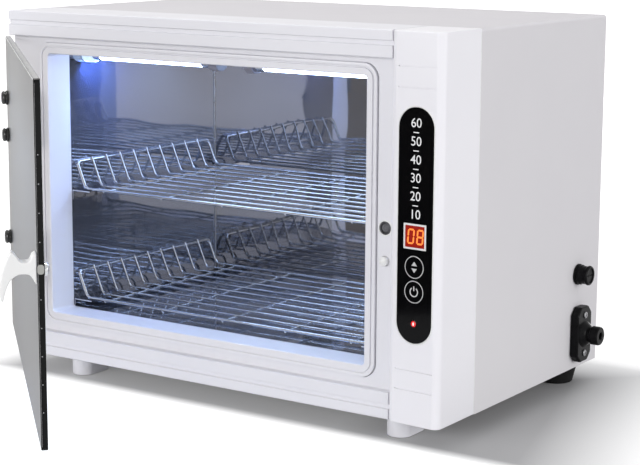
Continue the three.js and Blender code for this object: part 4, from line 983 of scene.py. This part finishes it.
def lamp(side):
    start, end = TUBE_SPANS[side]
    glass = turned(f"tube_{side}_glass", [
        (0.0, start + 6.0), (7.3, start + 6.0), (7.6, start + 9.0), (7.6, end - 9.0),
        (7.3, end - 6.0), (0.0, end - 6.0),
    ], "X", (TUBE_Y, TUBE_Z), 32)
    finish(glass, "cabinet", "lamp_glass", LAMP_GLASS, f"uv_tube_{side}")
    caps = [
        turned("cap", [
            (0.0, outer), (7.2, outer), (8.0, outer + 0.8 * way), (8.0, outer + 7.6 * way),
            (7.75, outer + 8.0 * way), (7.9, outer + 8.5 * way), (7.65, outer + 9.0 * way),
            (0.0, outer + 9.0 * way),
        ], "X", (TUBE_Y, TUBE_Z), 32)
        for outer, way in ((start, 1.0), (end, -1.0))
    ]
    return finish(joined(f"tube_{side}_caps", caps), "cabinet", "lamp_glass", STEEL)


def socket(name, start, node_name):
    def shoulders(inset):
        half, low = SOCKET_HALF - inset, SOCKET_LOW + inset
        return bend([
            (TUBE_Y - half, low, 7.5), (TUBE_Y + half, low, 7.5),
            (TUBE_Y + half, SOCKET_HIGH, 0.3), (TUBE_Y - half, SOCKET_HIGH, 0.3),
        ], 8)
    piece = slab(name, shoulders, start, start + SOCKET_THICK, 0.8, on_x)
    plastic = SOCKET_PAINTED_GLOW if name == "socket_left_1" else SOCKET_PLASTIC
    return finish(piece, "cabinet", "white_plastic", plastic, node_name)


for side in ("left", "right"):
    lamp(side)
    for number, start in enumerate(SOCKETS[side], 1):
        socket(f"socket_{side}_{number}", start, f"{side}_lamp_holder_{number}")

# %% [markdown]
# Beside the opening sit the magnet that holds the door and, below it, the round tip of the
# safety switch. The magnet is a dark disc in a pale collar, and the tip is a white dome. All of
# them are turned, and each step in a profile draws one of the rings that can be seen.

# %% Magnet and door switch
magnet = turned("magnet_cup", [
    (0.0, 8.9), (4.1, 8.9), (4.1, 7.5), (4.35, 7.2), (5.0, 7.2), (5.4, 7.6), (5.4, 16.2),
    (0.0, 16.2),
], "Y", (CATCH_X, CATCH_Z))
finish(magnet, "cabinet", "magnet", MAGNET_METAL, "magnet_catch")
magnet_core = turned("magnet_core", [
    (0.0, 8.35), (1.4, 8.35), (1.7, 8.1), (3.5, 8.1), (3.8, 8.4), (3.8, 9.0), (0.0, 9.0),
], "Y", (CATCH_X, CATCH_Z))
finish(magnet_core, "cabinet", "magnet", MAGNET_METAL)

collar = turned("magnet_collar", [
    (5.5, 9.0), (5.5, 7.45), (5.7, 7.2), (6.3, 7.2), (6.7, 7.45), (6.7, 9.0),
], "Y", (CATCH_X, CATCH_Z))
finish(collar, "cabinet", "white_plastic", HANDLE_PLASTIC)

plunger = turned("switch_tip", [
    *dome(4.0, 5.2, 3.4), (4.0, 18.4), (0.0, 18.4),
], "Y", (CATCH_X, PLUNGER_Z), 32)
finish(plunger, "plunger_body", "white_plastic", HANDLE_PLASTIC, "switch_plunger")

# %% [markdown]
# The door is a plain pane of 5 mm glass. Light that enters dark glass from its edge never comes
# out again, so the edge looks black: the outermost millimetre is a ring of its own, with rounded
# corners. Drawn shut, both go through the door's matrix and stand open.

# %% Door glass
GLASS_FRONT, GLASS_BACK, RIM, RIM_ROUND = -2.0, 3.0, 1.2, 0.6
DOOR_WIDE, DOOR_LOW, DOOR_HIGH = 409.0, 23.95, 292.55
pane_outline = tile(0.0, DOOR_WIDE, DOOR_LOW, DOOR_HIGH, 2.5, 6)
pane = slab("door_pane", lambda inset: pane_outline(inset + RIM), GLASS_FRONT, GLASS_BACK,
            0.02, on_y, 1)
finish(pane, "door", "dark_glass", DARK_GLASS, "door_glass", place=DOOR)
pane.visible_shadow = False

rim_path = [(RIM, GLASS_FRONT)]
for k in range(5):
    angle = k / 4 * math.pi / 2
    rim_path.append((RIM_ROUND * (1 - math.sin(angle)),
                     GLASS_FRONT + RIM_ROUND * (1 - math.cos(angle))))
rim_path += [(inset, GLASS_FRONT + GLASS_BACK - y) for inset, y in reversed(rim_path)]
rim = loft("door_rim", [on_y(pane_outline(inset), y) for inset, y in rim_path], ring=True)
finish(rim, "door", "dark_glass", GLASS_EDGE, place=DOOR)
rim.visible_shadow = False

# %% [markdown]
# Small things break the black edge. The cut along the top and the bevel of one long corner are
# pale and dull: painted highlight, for the light those edges catch. A row of small pins stands in
# the free edge, with a pale grey patch of painted light behind the handle where one pin would be.
# All are thin pieces laid on the rim, which is simpler than giving single faces of the glass a
# finish of their own.

# %% Painted highlights on the edges, edge pins and a painted glow patch
EDGE_PIN_LOW, EDGE_PIN_PITCH, EDGE_PINS, EDGE_GLOW_ROW = 52.6, 20.75, 10, 5
# The pale top edge is painted highlight: the light that edge catches.
top_edge_highlight = slab("door_top_edge", tile(2.0, DOOR_WIDE - 3.0, -0.9, 2.4, 0.4, 4),
              DOOR_HIGH - 0.1, DOOR_HIGH + 0.07, 0.05, on_z, 1)
finish(top_edge_highlight, "door", "dark_glass", EDGE_HIGHLIGHT_GREY, place=DOOR)
pin_profile = [
    (radius, DOOR_WIDE + out)
    for radius, out in ((0.0, -0.2), (0.45, -0.2), (0.4, 0.12), (0.2, 0.22), (0.0, 0.24))
]
pins = [
    turned("pin", pin_profile, "X", (0.2, EDGE_PIN_LOW + EDGE_PIN_PITCH * row), 16)
    for row in range(EDGE_PINS) if row != EDGE_GLOW_ROW
]
finish(joined("door_edge_pins", pins), "door", "steel", HINGE_STEEL, place=DOOR)
# The pale bevel along the free edge's front corner is painted highlight as well.
bevel_outline = [
    (DOOR_WIDE + u, GLASS_FRONT + v)
    for u, v in ((-0.7, -0.06), (0.08, 0.72), (0.0, 0.8), (-0.78, 0.02))
]
bevel = slab("door_side_bevel", lambda inset: bevel_outline, 27.0, 289.5, 0.01, on_z, 1)
finish(bevel, "door", "dark_glass", EDGE_HIGHLIGHT_GREY, place=DOOR)
# A pale grey patch on the free edge behind the handle, in place of one pin: painted light.
edge_glow = slab("handle_edge_glow", tile(-1.9, 2.9, CATCH_Z - 2.6, CATCH_Z + 4.4, 2.0, 6),
            DOOR_WIDE - 0.1, DOOR_WIDE + 0.1, 0.05, on_x, 1)
finish(edge_glow, "door", "handle_plastic", EDGE_GLOW_GREY, place=DOOR)

# %% [markdown]
# Four black cap nuts hold the hinge leaves from outside. Each is a rounded cap with a groove
# round its middle and a socket in its end, and the groove's edges catch small highlights. One
# turned profile gives all of that, with no cuts.

# %% Cap nuts
HINGES = {"lower": 95.5, "upper": 222.5}
NUT_X, NUT_APART, SEAT = 30.0, 16.75, GLASS_FRONT - 0.3
NUT_PROFILE = [
    (0.0, 4.6), (2.2, 4.6), (2.6, 5.7), (3.2, 6.0), (4.6, 5.8), (5.7, 5.0), (6.15, 4.0),
    (6.15, 3.2), (5.55, 2.9), (5.55, 2.3), (6.3, 2.0), (6.45, 1.4), (6.45, 0.2), (6.3, 0.0),
    (2.0, 0.0),
]


def cap_nut(name, z, node_name):
    profile = [(radius, SEAT - out) for radius, out in NUT_PROFILE] + [(2.0, 4.4), (0.0, 4.4)]
    piece = turned(name, profile, "Y", (NUT_X, z), 36)
    return finish(piece, "door", "black_plastic", NUT_PLASTIC, node_name, place=DOOR)


for level, middle in HINGES.items():
    for number, z in enumerate((middle - NUT_APART, middle + NUT_APART), 1):
        cap_nut(f"nut_{level}_{number}", z, f"{level}_hinge_nut_{number}")

# %% [markdown]
# A hinge leaf is stamped from sheet and rolled round the pin. Bending a mesh round the pin would
# give the same look with many more faces, so it is a plate with small corners and turned
# knuckles beside it, joined in one piece.

# %% Hinges
KNUCKLE, BORE, KNUCKLE_EDGE = 1.95, 1.2, 0.25
LEAF_HALF, KNUCKLE_HALF, KNUCKLE_GAP = 25.0, 8.5, 0.3


def knuckle(low, high):
    return turned("knuckle", [
        (BORE, low), (KNUCKLE - KNUCKLE_EDGE, low), (KNUCKLE, low + KNUCKLE_EDGE),
        (KNUCKLE, high - KNUCKLE_EDGE), (KNUCKLE - KNUCKLE_EDGE, high), (BORE, high),
    ], "Z", (PIN_X, PIN_Y), 24)


def leaf(name, middle, reach, depths, spans, body, node_name, place):
    outline = tile(3.75, reach, middle - LEAF_HALF, middle + LEAF_HALF, 2.0)
    pieces = [slab("plate", outline, *depths, 0.2, on_y, 2)]
    for low, high in spans:
        pieces.append(knuckle(low, high))
        pieces.append(slab("roll", tile(1.6, 5.0, low, high, 0.2), *depths, 0.1, on_y, 2))
    return finish(joined(name, pieces), body, "steel", HINGE_STEEL, node_name, place=place)


for level, middle in HINGES.items():
    beside = KNUCKLE_HALF + KNUCKLE_GAP
    leaf(f"leaf_frame_{level}", middle, 28.0, (6.1, 7.2),
         [(middle - LEAF_HALF, middle - beside), (middle + beside, middle + LEAF_HALF)],
         "cabinet", f"{level}_hinge_frame_leaf", CABINET)
    leaf(f"leaf_door_{level}", middle, 40.0, (3.3, 4.4),
         [(middle - KNUCKLE_HALF, middle + KNUCKLE_HALF)],
         "door", f"{level}_hinge_door_leaf", DOOR)

# %% [markdown]
# The handle is a white hook: a flared foot on the glass, a waist, and a grip that slopes down
# to its tip. Its side view is a closed smooth curve. Extruding it gives hard rims, so the solid
# is rebuilt in small voxels and smoothed, as if the moulding had been polished.

# %% Handle
HANDLE_SIDE = [
    (0, -0.9), (0.06, -0.68), (0.13, -0.42), (0.21, -0.24), (0.42, -0.2), (0.57, -0.3),
    (0.72, -0.58), (0.8, -0.92), (0.87, -1.36), (0.92, -1.78), (0.97, -1.78), (1, -1.5),
    (0.985, -0.9), (0.94, -0.2), (0.84, 0.5), (0.7, 1.08), (0.63, 1.08), (0.56, 0.9),
    (0.48, 0.62), (0.4, 0.5), (0.22, 0.5), (0.15, 0.66), (0.1, 0.9), (0, 1.02),
]
HANDLE_REACH, HANDLE_HALF, HANDLE_WIDTH = 26.0, 12.0, 15.0


def smooth_loop(points, steps=4):
    """A closed curve through the points, except for the straight foot between the last two."""
    result = []
    for i in range(len(points) - 1):
        before = points[max(i - 1, 0)]
        a, b = points[i], points[i + 1]
        after = points[min(i + 2, len(points) - 1)]
        for k in range(steps):
            t = k / steps
            result.append(0.5 * (
                2 * a + (b - before) * t + (2 * before - 5 * a + 4 * b - after) * t**2
                + (3 * a - before - 3 * b + after) * t**3
            ))
    result.append(points[-1])
    return result


handle_outline = smooth_loop([
    Vector((SEAT - out * HANDLE_REACH, CATCH_Z + up * HANDLE_HALF)) for out, up in HANDLE_SIDE
])
handle = loft("handle_hook", [
    on_x(handle_outline, CATCH_X + side * HANDLE_WIDTH / 2) for side in (-1, 1)
])
outward(handle)
rebuilt = handle.modifiers.new("Voxels", "REMESH")
rebuilt.mode, rebuilt.voxel_size = "VOXEL", 0.45
polished = handle.modifiers.new("Polish", "SMOOTH")
polished.factor, polished.iterations = 0.5, 10
settle(handle)
finish(handle, "door", "handle_plastic", HANDLE_PLASTIC, "door_handle", place=DOOR, limit=180.0)

# %% [markdown]
# Through the glass, a chromed screw with a wide flat head holds the handle and meets the
# magnet when the door is shut. It is one turned profile, from its tip in the handle to its head.

# %% Striker
striker = turned("striker_disc", [
    (0.0, -6.2), (2.0, -6.2), (2.0, 3.3), (4.6, 3.3), (5.0, 3.7), (5.0, 5.0), (4.6, 5.8),
    (3.6, 6.5), (2.0, 6.85), (0.0, 6.9),
], "Y", (CATCH_X, CATCH_Z), 40)
finish(striker, "door", "steel", CHROME, "striker_screw", place=DOOR)

# %% [markdown]
# The panel is a stiff black film set in its pocket. The display's white frame, the two keys and
# the pilot lamp come through it. The film is cut by the same functions as the column behind it,
# so the holes line up. Everything here is drawn in the panel's own frame.

# %% Panel film
FILM_FRONT = -0.7
film = slab("panel_film_plate", film_outline(0.0), FILM_FRONT, 0.5, 0.25, on_y)
cut(film, slab("window", display_outline(11.1, 10.55, 0.3), -3.0, 3.0, 0.05, on_y),
    *panel_holes(9.45, 3.0, 48, 32))
finish(film, "cabinet", "black_plastic", BLACK_FILM, "panel_overlay", place=PANEL)

# %% [markdown]
# The display is a white frame round a dark red window that glows faintly. The frame is a plate
# with its middle cut out, and the window is a plate of its own, set back inside the frame.

# %% Display frame and its red window
bezel = slab("display_bezel", display_outline(10.8, 10.25, 0.6), -0.9, 2.5, 0.25, on_y)
cut(bezel, slab("inner", display_outline(9.4, 8.85, 0.3), -3.0, 5.0, 0.05, on_y))
finish(bezel, "cabinet", "white_plastic", HANDLE_PLASTIC, "display_frame", place=PANEL)

glow_plate = slab("display_glow", display_outline(9.3, 8.75, 0.2), -0.35, 4.2, 0.1, on_y)
finish(glow_plate, "cabinet", "red_lens", DISPLAY_RED, "display_window", place=PANEL)

# %% [markdown]
# Each digit has up to seven bars with pointed ends, as in any number display, and leans a
# little. A font has no gaps between the bars, so they are drawn one by one, and a table says
# which are lit. The time shown is the photograph's.

# %% Digits
BARS = {"0": "abcdef", "8": "abcdefg"}
DIGIT_WIDTH, DIGIT_HEIGHT, BAR, SLANT = 6.6, 12.4, 1.35, 0.08
DIGIT_FRONT, DIGIT_BACK = -0.5, -0.3


def digit_bar(centre, length, upright):
    """One pointed bar, flat on the display."""
    half, side = length / 2, BAR / 2
    shape = [(-half, 0), (-half + side, -side), (half - side, -side),
             (half, 0), (half - side, side), (-half + side, side)]
    if upright:
        shape = [(v, u) for u, v in shape]
    across, up = centre
    slanted = [(across + u + SLANT * (up + v), DISPLAY_Z + up + v) for u, v in shape]
    return loft("bar", [on_y(slanted, DIGIT_FRONT), on_y(slanted, DIGIT_BACK)])


def digit(figure, middle):
    w, h = DIGIT_WIDTH - BAR, DIGIT_HEIGHT - BAR
    long, tall = w - 0.3, h / 2 - 0.3
    bars = {
        "a": ((middle, h / 2), long, False), "g": ((middle, 0), long, False),
        "d": ((middle, -h / 2), long, False), "b": ((middle + w / 2, h / 4), tall, True),
        "c": ((middle + w / 2, -h / 4), tall, True), "e": ((middle - w / 2, -h / 4), tall, True),
        "f": ((middle - w / 2, h / 4), tall, True),
    }
    return [digit_bar(*bars[letter]) for letter in BARS[figure]]


digits = joined("display_digits", digit("0", -3.9) + digit("8", 4.9))
finish(digits, "cabinet", "red_lens", DIGIT_GLOW, place=PANEL)

# %% [markdown]
# Signs and marks are printed, and print is a thin layer of ink on the film. A texture would need
# a picture, so each line here is a thin raised strip along a path, open or closed.

# %% Strips of print
def strip(path, width, closed, front, back):
    """A flat ribbon along a path in the panel's plane."""
    count = len(path)
    left, right = [], []
    for i, point in enumerate(path):
        before = path[i - 1] if closed or i > 0 else point
        after = path[(i + 1) % count] if closed or i < count - 1 else point
        way = (Vector(after) - Vector(before)).normalized()
        side = Vector((-way.y, way.x)) * width / 2
        left.append(Vector(point) + side)
        right.append(Vector(point) - side)
    if not closed:
        outline = left + right[::-1]
        return loft("strip", [on_y(outline, front), on_y(outline, back)])
    return loft("strip", [
        on_y(left, front), on_y(right, front), on_y(right, back), on_y(left, back),
    ], ring=True)


def circle(radius, z, start=0.0, end=360.0, steps=48):
    """Points round a full circle, or along an arc with both its ends."""
    points = []
    for k in range(steps + (end - start < 360.0)):
        angle = math.radians(start + (end - start) * k / steps)
        points.append((radius * math.cos(angle), z + radius * math.sin(angle)))
    return points


# %% [markdown]
# The two keys are round and press in a little. Each has a pale ring and a plain sign: an arrow
# up and down for the choice, and the usual power sign. The key is turned, and its print rides on
# the same body, so the two move together.

# %% Keys
KEY_FRONT, SIGN_FRONT, SIGN_BACK, SIGN_WIDE = -0.9, -0.94, -0.7, 0.95


def key(name, z, body, node_name, signs):
    cap = turned(name, [
        (0.0, KEY_FRONT + 0.12), (6.5, KEY_FRONT + 0.06), (8.9, KEY_FRONT), (9.2, KEY_FRONT + 0.3),
        (9.2, 2.3), (0.0, 2.3),
    ], "Y", (0.0, z), 56)
    finish(cap, body, "black_plastic", BLACK_FILM, node_name, place=PANEL)
    ink = joined(name + "_sign", [strip(circle(8.75, z), 0.6, True, -0.96, -0.8)] + signs)
    return finish(ink, body, "white_plastic", PRINT_GREY, place=PANEL)


def triangle(z, way):
    points = [(-2.6, z), (2.6, z), (0.0, z + way * 3.4)]
    return loft("triangle", [on_y(points, SIGN_FRONT), on_y(points, SIGN_BACK)])


key("key_select", SELECT_Z, "select_key", "select_button",
    [triangle(SELECT_Z + 1.1, 1), triangle(SELECT_Z - 1.1, -1)])
power_arc = circle(3.6, POWER_Z, 125.0, 415.0, 36)
power_bar = [(0.0, POWER_Z + 0.8), (0.0, POWER_Z + 4.6)]
key("key_power", POWER_Z, "power_key", "power_button",
    [strip(path, SIGN_WIDE, False, SIGN_FRONT, SIGN_BACK) for path in (power_arc, power_bar)])

# %% [markdown]
# Above the display the film has a plain scale of minutes, with a short mark between each two
# numbers. The numbers are text in the default font that is turned into mesh, because only a mesh
# keeps its shape wherever the part is opened.

# %% Scale of minutes
SCALE_TOP, SCALE_STEP, FIGURE_SIZE, MARK_HALF, MARK_WIDE = 82.0, 14.5, 10.5, 2.6, 0.8
INK_FRONT, INK_THICK = FILM_FRONT - 0.05, 0.2


def figures(text, size, z, front, thickness):
    words = bpy.data.curves.new("number", "FONT")
    words.body, words.size, words.align_x, words.align_y = text, size, "CENTER", "CENTER"
    words.extrude, words.resolution_u = thickness / 2, 6
    words.offset = 0.02
    piece = as_mesh_object("number", make_object("number", words))
    middle = Matrix.Translation((0.0, front + thickness / 2, z))
    piece.data.transform(middle @ Matrix.Rotation(math.pi / 2, 4, "X"))
    return piece


scale_parts = []
for step, minutes in enumerate(("60", "50", "40", "30", "20", "10")):
    z = SCALE_TOP - SCALE_STEP * step
    scale_parts.append(figures(minutes, FIGURE_SIZE, z, INK_FRONT, INK_THICK))
    if step < 5:
        below = z - SCALE_STEP / 2
        mark = [(-MARK_HALF, below), (MARK_HALF, below)]
        scale_parts.append(strip(mark, MARK_WIDE, False, INK_FRONT, INK_FRONT + INK_THICK))
finish(joined("minutes_scale", scale_parts), "cabinet", "white_plastic", PRINT_WHITE, place=PANEL)

# %% [markdown]
# Below the keys a small red lamp shows that the power is on. It is a low dome in a black ring,
# with a paler upright bar in its middle where its light comes from. A brighter dome alone would
# look flat, so the bar is a small plate of its own with a stronger glow.

# %% Pilot lamp
pilot = turned("pilot_lens", [
    *dome(2.4, -0.75, -1.0, 6), (2.4, 4.2), (0.0, 4.2),
], "Y", (0.0, LIGHT_Z), 32)
finish(pilot, "cabinet", "red_lens", PILOT_RED, "power_light", place=PANEL)
core_outline = tile(-0.75, 0.75, LIGHT_Z - 1.35, LIGHT_Z + 1.35, 0.7, 6)
core = slab("pilot_core", core_outline, -1.1, -0.8, 0.08, on_y)
finish(core, "cabinet", "red_lens", PILOT_CORE, place=PANEL)
pilot_ring = turned("pilot_ring", [(2.45, 1.0), (2.45, -0.9), (2.7, -1.0), (3.2, -0.8), (3.2, 1.0)],
                    "Y", (0.0, LIGHT_Z), 32)
finish(pilot_ring, "cabinet", "black_plastic", BLACK_FILM, place=PANEL)

# %% [markdown]
# On the right side, near the back, a round cap covers the fuse. Its holder is a turned flange,
# and the cap is a smooth barrel with a waist, a rim round its end and a slot for a coin. Both
# are turned like the real ones, and only the slot is cut, since it isn't round.

# %% Fuse holder and cap
FUSE_Y, FUSE_Z = 241.0, 86.5
holder = turned("fuse_flange", [
    (0.0, 428.0), (6.3, 428.0), (6.3, 460.3), (9.2, 460.3), (9.5, 460.6), (9.5, 461.9),
    (9.2, 462.3), (3.2, 462.3), (3.2, 430.5), (0.0, 430.5),
], "X", (FUSE_Y, FUSE_Z), 48)
finish(holder, "cabinet", "black_plastic", BLACK_PLASTIC, "fuse_holder")

cap = turned("fuse_cap_grip", [
    (0.0, 462.6), (8.6, 462.6), (9.0, 462.9), (9.0, 464.6), (8.7, 465.1), (8.25, 465.6),
    (8.15, 466.6), (8.15, 469.6), (8.3, 470.3), (8.8, 470.8), (8.9, 471.4), (8.7, 472.5),
    (8.1, 473.0), (7.4, 473.1), (6.9, 472.8), (6.7, 472.2), (6.4, 471.9), (2.2, 471.9),
    (1.9, 472.1), (0.0, 472.15),
], "X", (FUSE_Y, FUSE_Z), 48)
coin_slot = tile(FUSE_Y - 5.6, FUSE_Y + 5.6, FUSE_Z - 0.55, FUSE_Z + 0.55, 0.3)
cut(cap, slab("slot", coin_slot, 471.3, 474.0, 0.05, on_x))
finish(cap, "fuse_cap_body", "black_plastic", BLACK_PLASTIC, "fuse_cap")

# %% [markdown]
# Below it is the mains inlet: a moulded block with two screws and a stepped gland on a sloping
# boss. The block is a plate whose outline has its corners cut off and whose edge is soft. The
# gland is turned with its bore, and the screws come from the function that made the rear ones.

# %% Mains inlet
INLET_Y, INLET_Z = 242.75, 32.0


def cut_corners(inset):
    """The block's outline: a rectangle with its four corners cut off."""
    wide, tall, off = 13.5 - inset, 25.35 - inset, 6.5 - 0.4 * inset
    shape = [(-wide, -tall + off), (-wide + off, -tall), (wide - off, -tall), (wide, -tall + off),
             (wide, tall - off), (wide - off, tall), (-wide + off, tall), (-wide, tall - off)]
    return bend([(INLET_Y + u, INLET_Z + v, 1.6) for u, v in shape], 4)


block = slab("inlet_body", cut_corners, 460.3, 468.3, 1.4, on_x, 4)
finish(block, "cabinet", "black_plastic", BLACK_PLASTIC, "inlet_block")

gland = turned("gland_nut", [
    (0.0, 458.8), (6.5, 458.8), (6.5, 468.0), (12.2, 468.0), (11.4, 469.4), (9.6, 471.6),
    (8.4, 472.7), (7.6, 473.1), (7.0, 473.4), (7.0, 475.6), (8.0, 475.9), (8.5, 476.4),
    (8.5, 482.6), (8.1, 483.6), (7.4, 484.1), (4.0, 484.1), (3.25, 483.5), (3.25, 469.0),
    (0.0, 469.0),
], "X", (INLET_Y, INLET_Z), 48)
finish(gland, "cabinet", "black_plastic", BLACK_PLASTIC, "inlet_gland")

for number, z in enumerate((INLET_Z - 17.5, INLET_Z + 17.5), 1):
    screw = pan_head(f"inlet_head_{number}", "X", (INLET_Y, z), 468.6, 1.0, 3.0, 1.2)
    finish(screw, "cabinet", "steel", HINGE_STEEL, f"inlet_screw_{number}")

# %% [markdown]
# The floor is a plain pale sheet. Most of its brightness is a light of its own that only camera,
# mirror and glass rays see, so no extra light falls on the cabinet. Under the cabinet and close
# round it that light is turned down, most of all at the right: a painted shadow over the lamps'
# real one, which rises softly outwards from there. Far away the lamps give out, and its own light
# makes up for them.

# %% Floor
def seen_rays(tree):
    """1 for rays that come from the camera, a mirror or glass, and 0 for the rest."""
    path = tree.nodes.new("ShaderNodeLightPath")
    total = path.outputs["Is Camera Ray"]
    for name in ("Is Glossy Ray", "Is Transmission Ray"):
        adder = tree.nodes.new("ShaderNodeMath")
        adder.operation, adder.use_clamp = "ADD", True
        tree.links.new(total, adder.inputs[0])
        tree.links.new(path.outputs[name], adder.inputs[1])
        total = adder.outputs["Value"]
    return total


def math_node(material, operation, first, second):
    piece = node(material, "Math")
    piece.operation = operation
    for socket_input, value in zip(piece.inputs, (first, second)):
        if isinstance(value, (int, float)):
            socket_input.default_value = value
        else:
            wire_up(material, value, socket_input)
    return piece.outputs["Value"]


# The floor's own light is turned down inside these edges: they draw the outline of a painted
# shadow.
# Each is where the rise starts, in metres, and how steep it is: right, left, front and back.
RIGHT_EDGE, LEFT_EDGE = (0.255, 0.4), (-0.235, -1.2)
FRONT_EDGE, BACK_EDGE = (-0.134, -3.0), (0.12, 0.5)
# Spans over which the light changes: from the edge outwards, under the right side, and far away.
NEAR_SPAN, UNDER_SPAN, FAR_SPAN = (0.0, 0.05), (0.12, 0.2), (0.5, 1.9)
SHADOW_SKEW, DARKEST = 0.29, 0.02


def painted_shadow_floor(name, shade_light, near_light, far_light):
    material, shader = new_material(name, (0.50, 0.50, 0.50), 0.9)
    place = node(material, "TexCoord").outputs["Object"]
    axes = node(material, "SeparateXYZ", Vector=place)
    away = node(material, "VectorMath", Vector=place)
    away.operation = "LENGTH"
    beyond = remapped(material, away.outputs["Value"], *FAR_SPAN, 0.0, far_light)
    x, y = axes.outputs["X"], axes.outputs["Y"]
    skewed = math_node(material, "ADD", x, math_node(material, "MULTIPLY", y, SHADOW_SKEW))
    rises = []
    edges = (RIGHT_EDGE, LEFT_EDGE, FRONT_EDGE, BACK_EDGE)
    for along, (edge, steep) in zip((skewed, x, y, y), edges):
        past = math_node(material, "SUBTRACT", along, edge)
        rises.append(math_node(material, "MULTIPLY", past, steep))
    outside = rises[0]
    for rise in rises[1:]:
        outside = math_node(material, "MAXIMUM", outside, rise)
    shade = remapped(material, x, *UNDER_SPAN, shade_light, DARKEST)
    near = remapped(material, outside, *NEAR_SPAN, shade, near_light)
    own_light = math_node(material, "ADD", near, beyond)
    shown = math_node(material, "MULTIPLY", own_light, seen_rays(material.node_tree))
    wire_up(material, shown, shader.inputs["Emission Strength"])
    shader.inputs["Emission Color"].default_value = (1.0, 1.0, 1.0, 1.0)
    shader.inputs["Specular IOR Level"].default_value = 0.0
    return material


REACH, FLOOR_Z = 40.0, -0.0182
floor_mesh = bpy.data.meshes.new("floor")
corners = [(x * REACH, y * REACH, FLOOR_Z) for x, y in ((-1, -1), (1, -1), (1, 1), (-1, 1))]
floor_mesh.from_pydata(corners, [], [(0, 1, 2, 3)])
floor = make_object("floor", floor_mesh)
floor_mesh.materials.append(painted_shadow_floor("floor_painted_shadow", 0.135, 0.71, 0.45))
print("floor reaches", REACH, "m each way")

# %% [markdown]
# The cabinet stands in a plain white studio. The world lights it with an even pale grey, and
# camera, mirror and glass rays see it as white. A picture of a real studio could light it too,
# but two plain colours need no file and show nothing in the mirrors that isn't there.

# %% World
world = bpy.data.worlds.new("studio")
bpy.context.scene.world = world
world.use_nodes = True
nodes, links = world.node_tree.nodes, world.node_tree.links
sky, white = nodes["Background"], nodes.new("ShaderNodeBackground")
for light, colour, strength in (
    (sky, (0.955, 0.96, 1.0), 0.50),
    (white, (1.0, 1.0, 1.0), 1.0),
):
    light.inputs["Color"].default_value = (*colour, 1.0)
    light.inputs["Strength"].default_value = strength
choose = nodes.new("ShaderNodeMixShader")
links.new(seen_rays(world.node_tree), choose.inputs["Fac"])
links.new(sky.outputs["Background"], choose.inputs[1])
links.new(white.outputs["Background"], choose.inputs[2])
links.new(choose.outputs["Shader"], nodes["World Output"].inputs["Surface"])
print("world:", world.name, "with strength", sky.inputs["Strength"].default_value)

# %% [markdown]
# All lamps are area lamps, because their size sets how soft a shadow is. A narrow one hangs high
# above, a little to the left, and draws the shadow. Two large ones fill the front and the right
# side, and a low weak one behind reaches only the back. Three blue ones stand for the light that
# goes to and fro between the chamber's mirrors, and a small one, which no mirror shows, for the
# haze round the left tube's end.

# %% Lamps
def soft_lamp(name, place, target, power, colour, wide, tall):
    data = bpy.data.lights.new(name, "AREA")
    data.energy, data.color = power, colour
    data.shape, data.size, data.size_y = "RECTANGLE", wide, tall
    piece = make_object(name, data)
    piece.location = place
    piece.rotation_euler = (Vector(target) - Vector(place)).to_track_quat("-Z", "Y").to_euler()
    return piece


WARM, PLAIN, TUBE_BLUE = (1.0, 0.975, 0.96), (1.0, 1.0, 1.0), (0.50, 0.68, 1.0)
soft_lamp("high", (-0.3, -0.12, 2.15), (0.0, -0.12, 0.0), 13.0, WARM, 0.08, 0.7)
soft_lamp("front", (-0.7, -3.0, 0.75), (0.0, 0.0, 0.1), 50.0, PLAIN, 2.4, 1.0)
soft_lamp("side", (3.0, -0.2, 0.6), (0.0, 0.0, 0.15), 37.0, PLAIN, 2.0, 1.2)
soft_lamp("rear", (-0.8, 3.0, 0.2), (0.0, 0.0, 0.15), 10.0, PLAIN, 2.0, 0.2)

for name, x, power, wide in (
    ("chamber_right", 335.0, 0.42, 0.09),
    ("chamber_left", 95.0, 0.16, 0.08),
    ("chamber_all", 212.0, 0.65, 0.28),
):
    place, target = CABINET @ Vector((x, 145.0, 284.0)), CABINET @ Vector((x, 60.0, 60.0))
    soft_lamp(name, place, target, power, TUBE_BLUE, wide, 0.10)
haze = soft_lamp("lamp_haze", CABINET @ Vector((64.0, 68.0, 270.0)),
                 CABINET @ Vector((42.0, 100.0, 235.0)), 0.3, (0.12, 0.24, 1.0), 0.05, 0.03)
haze.visible_glossy = False
bpy.context.scene.view_settings.view_transform = "Standard"
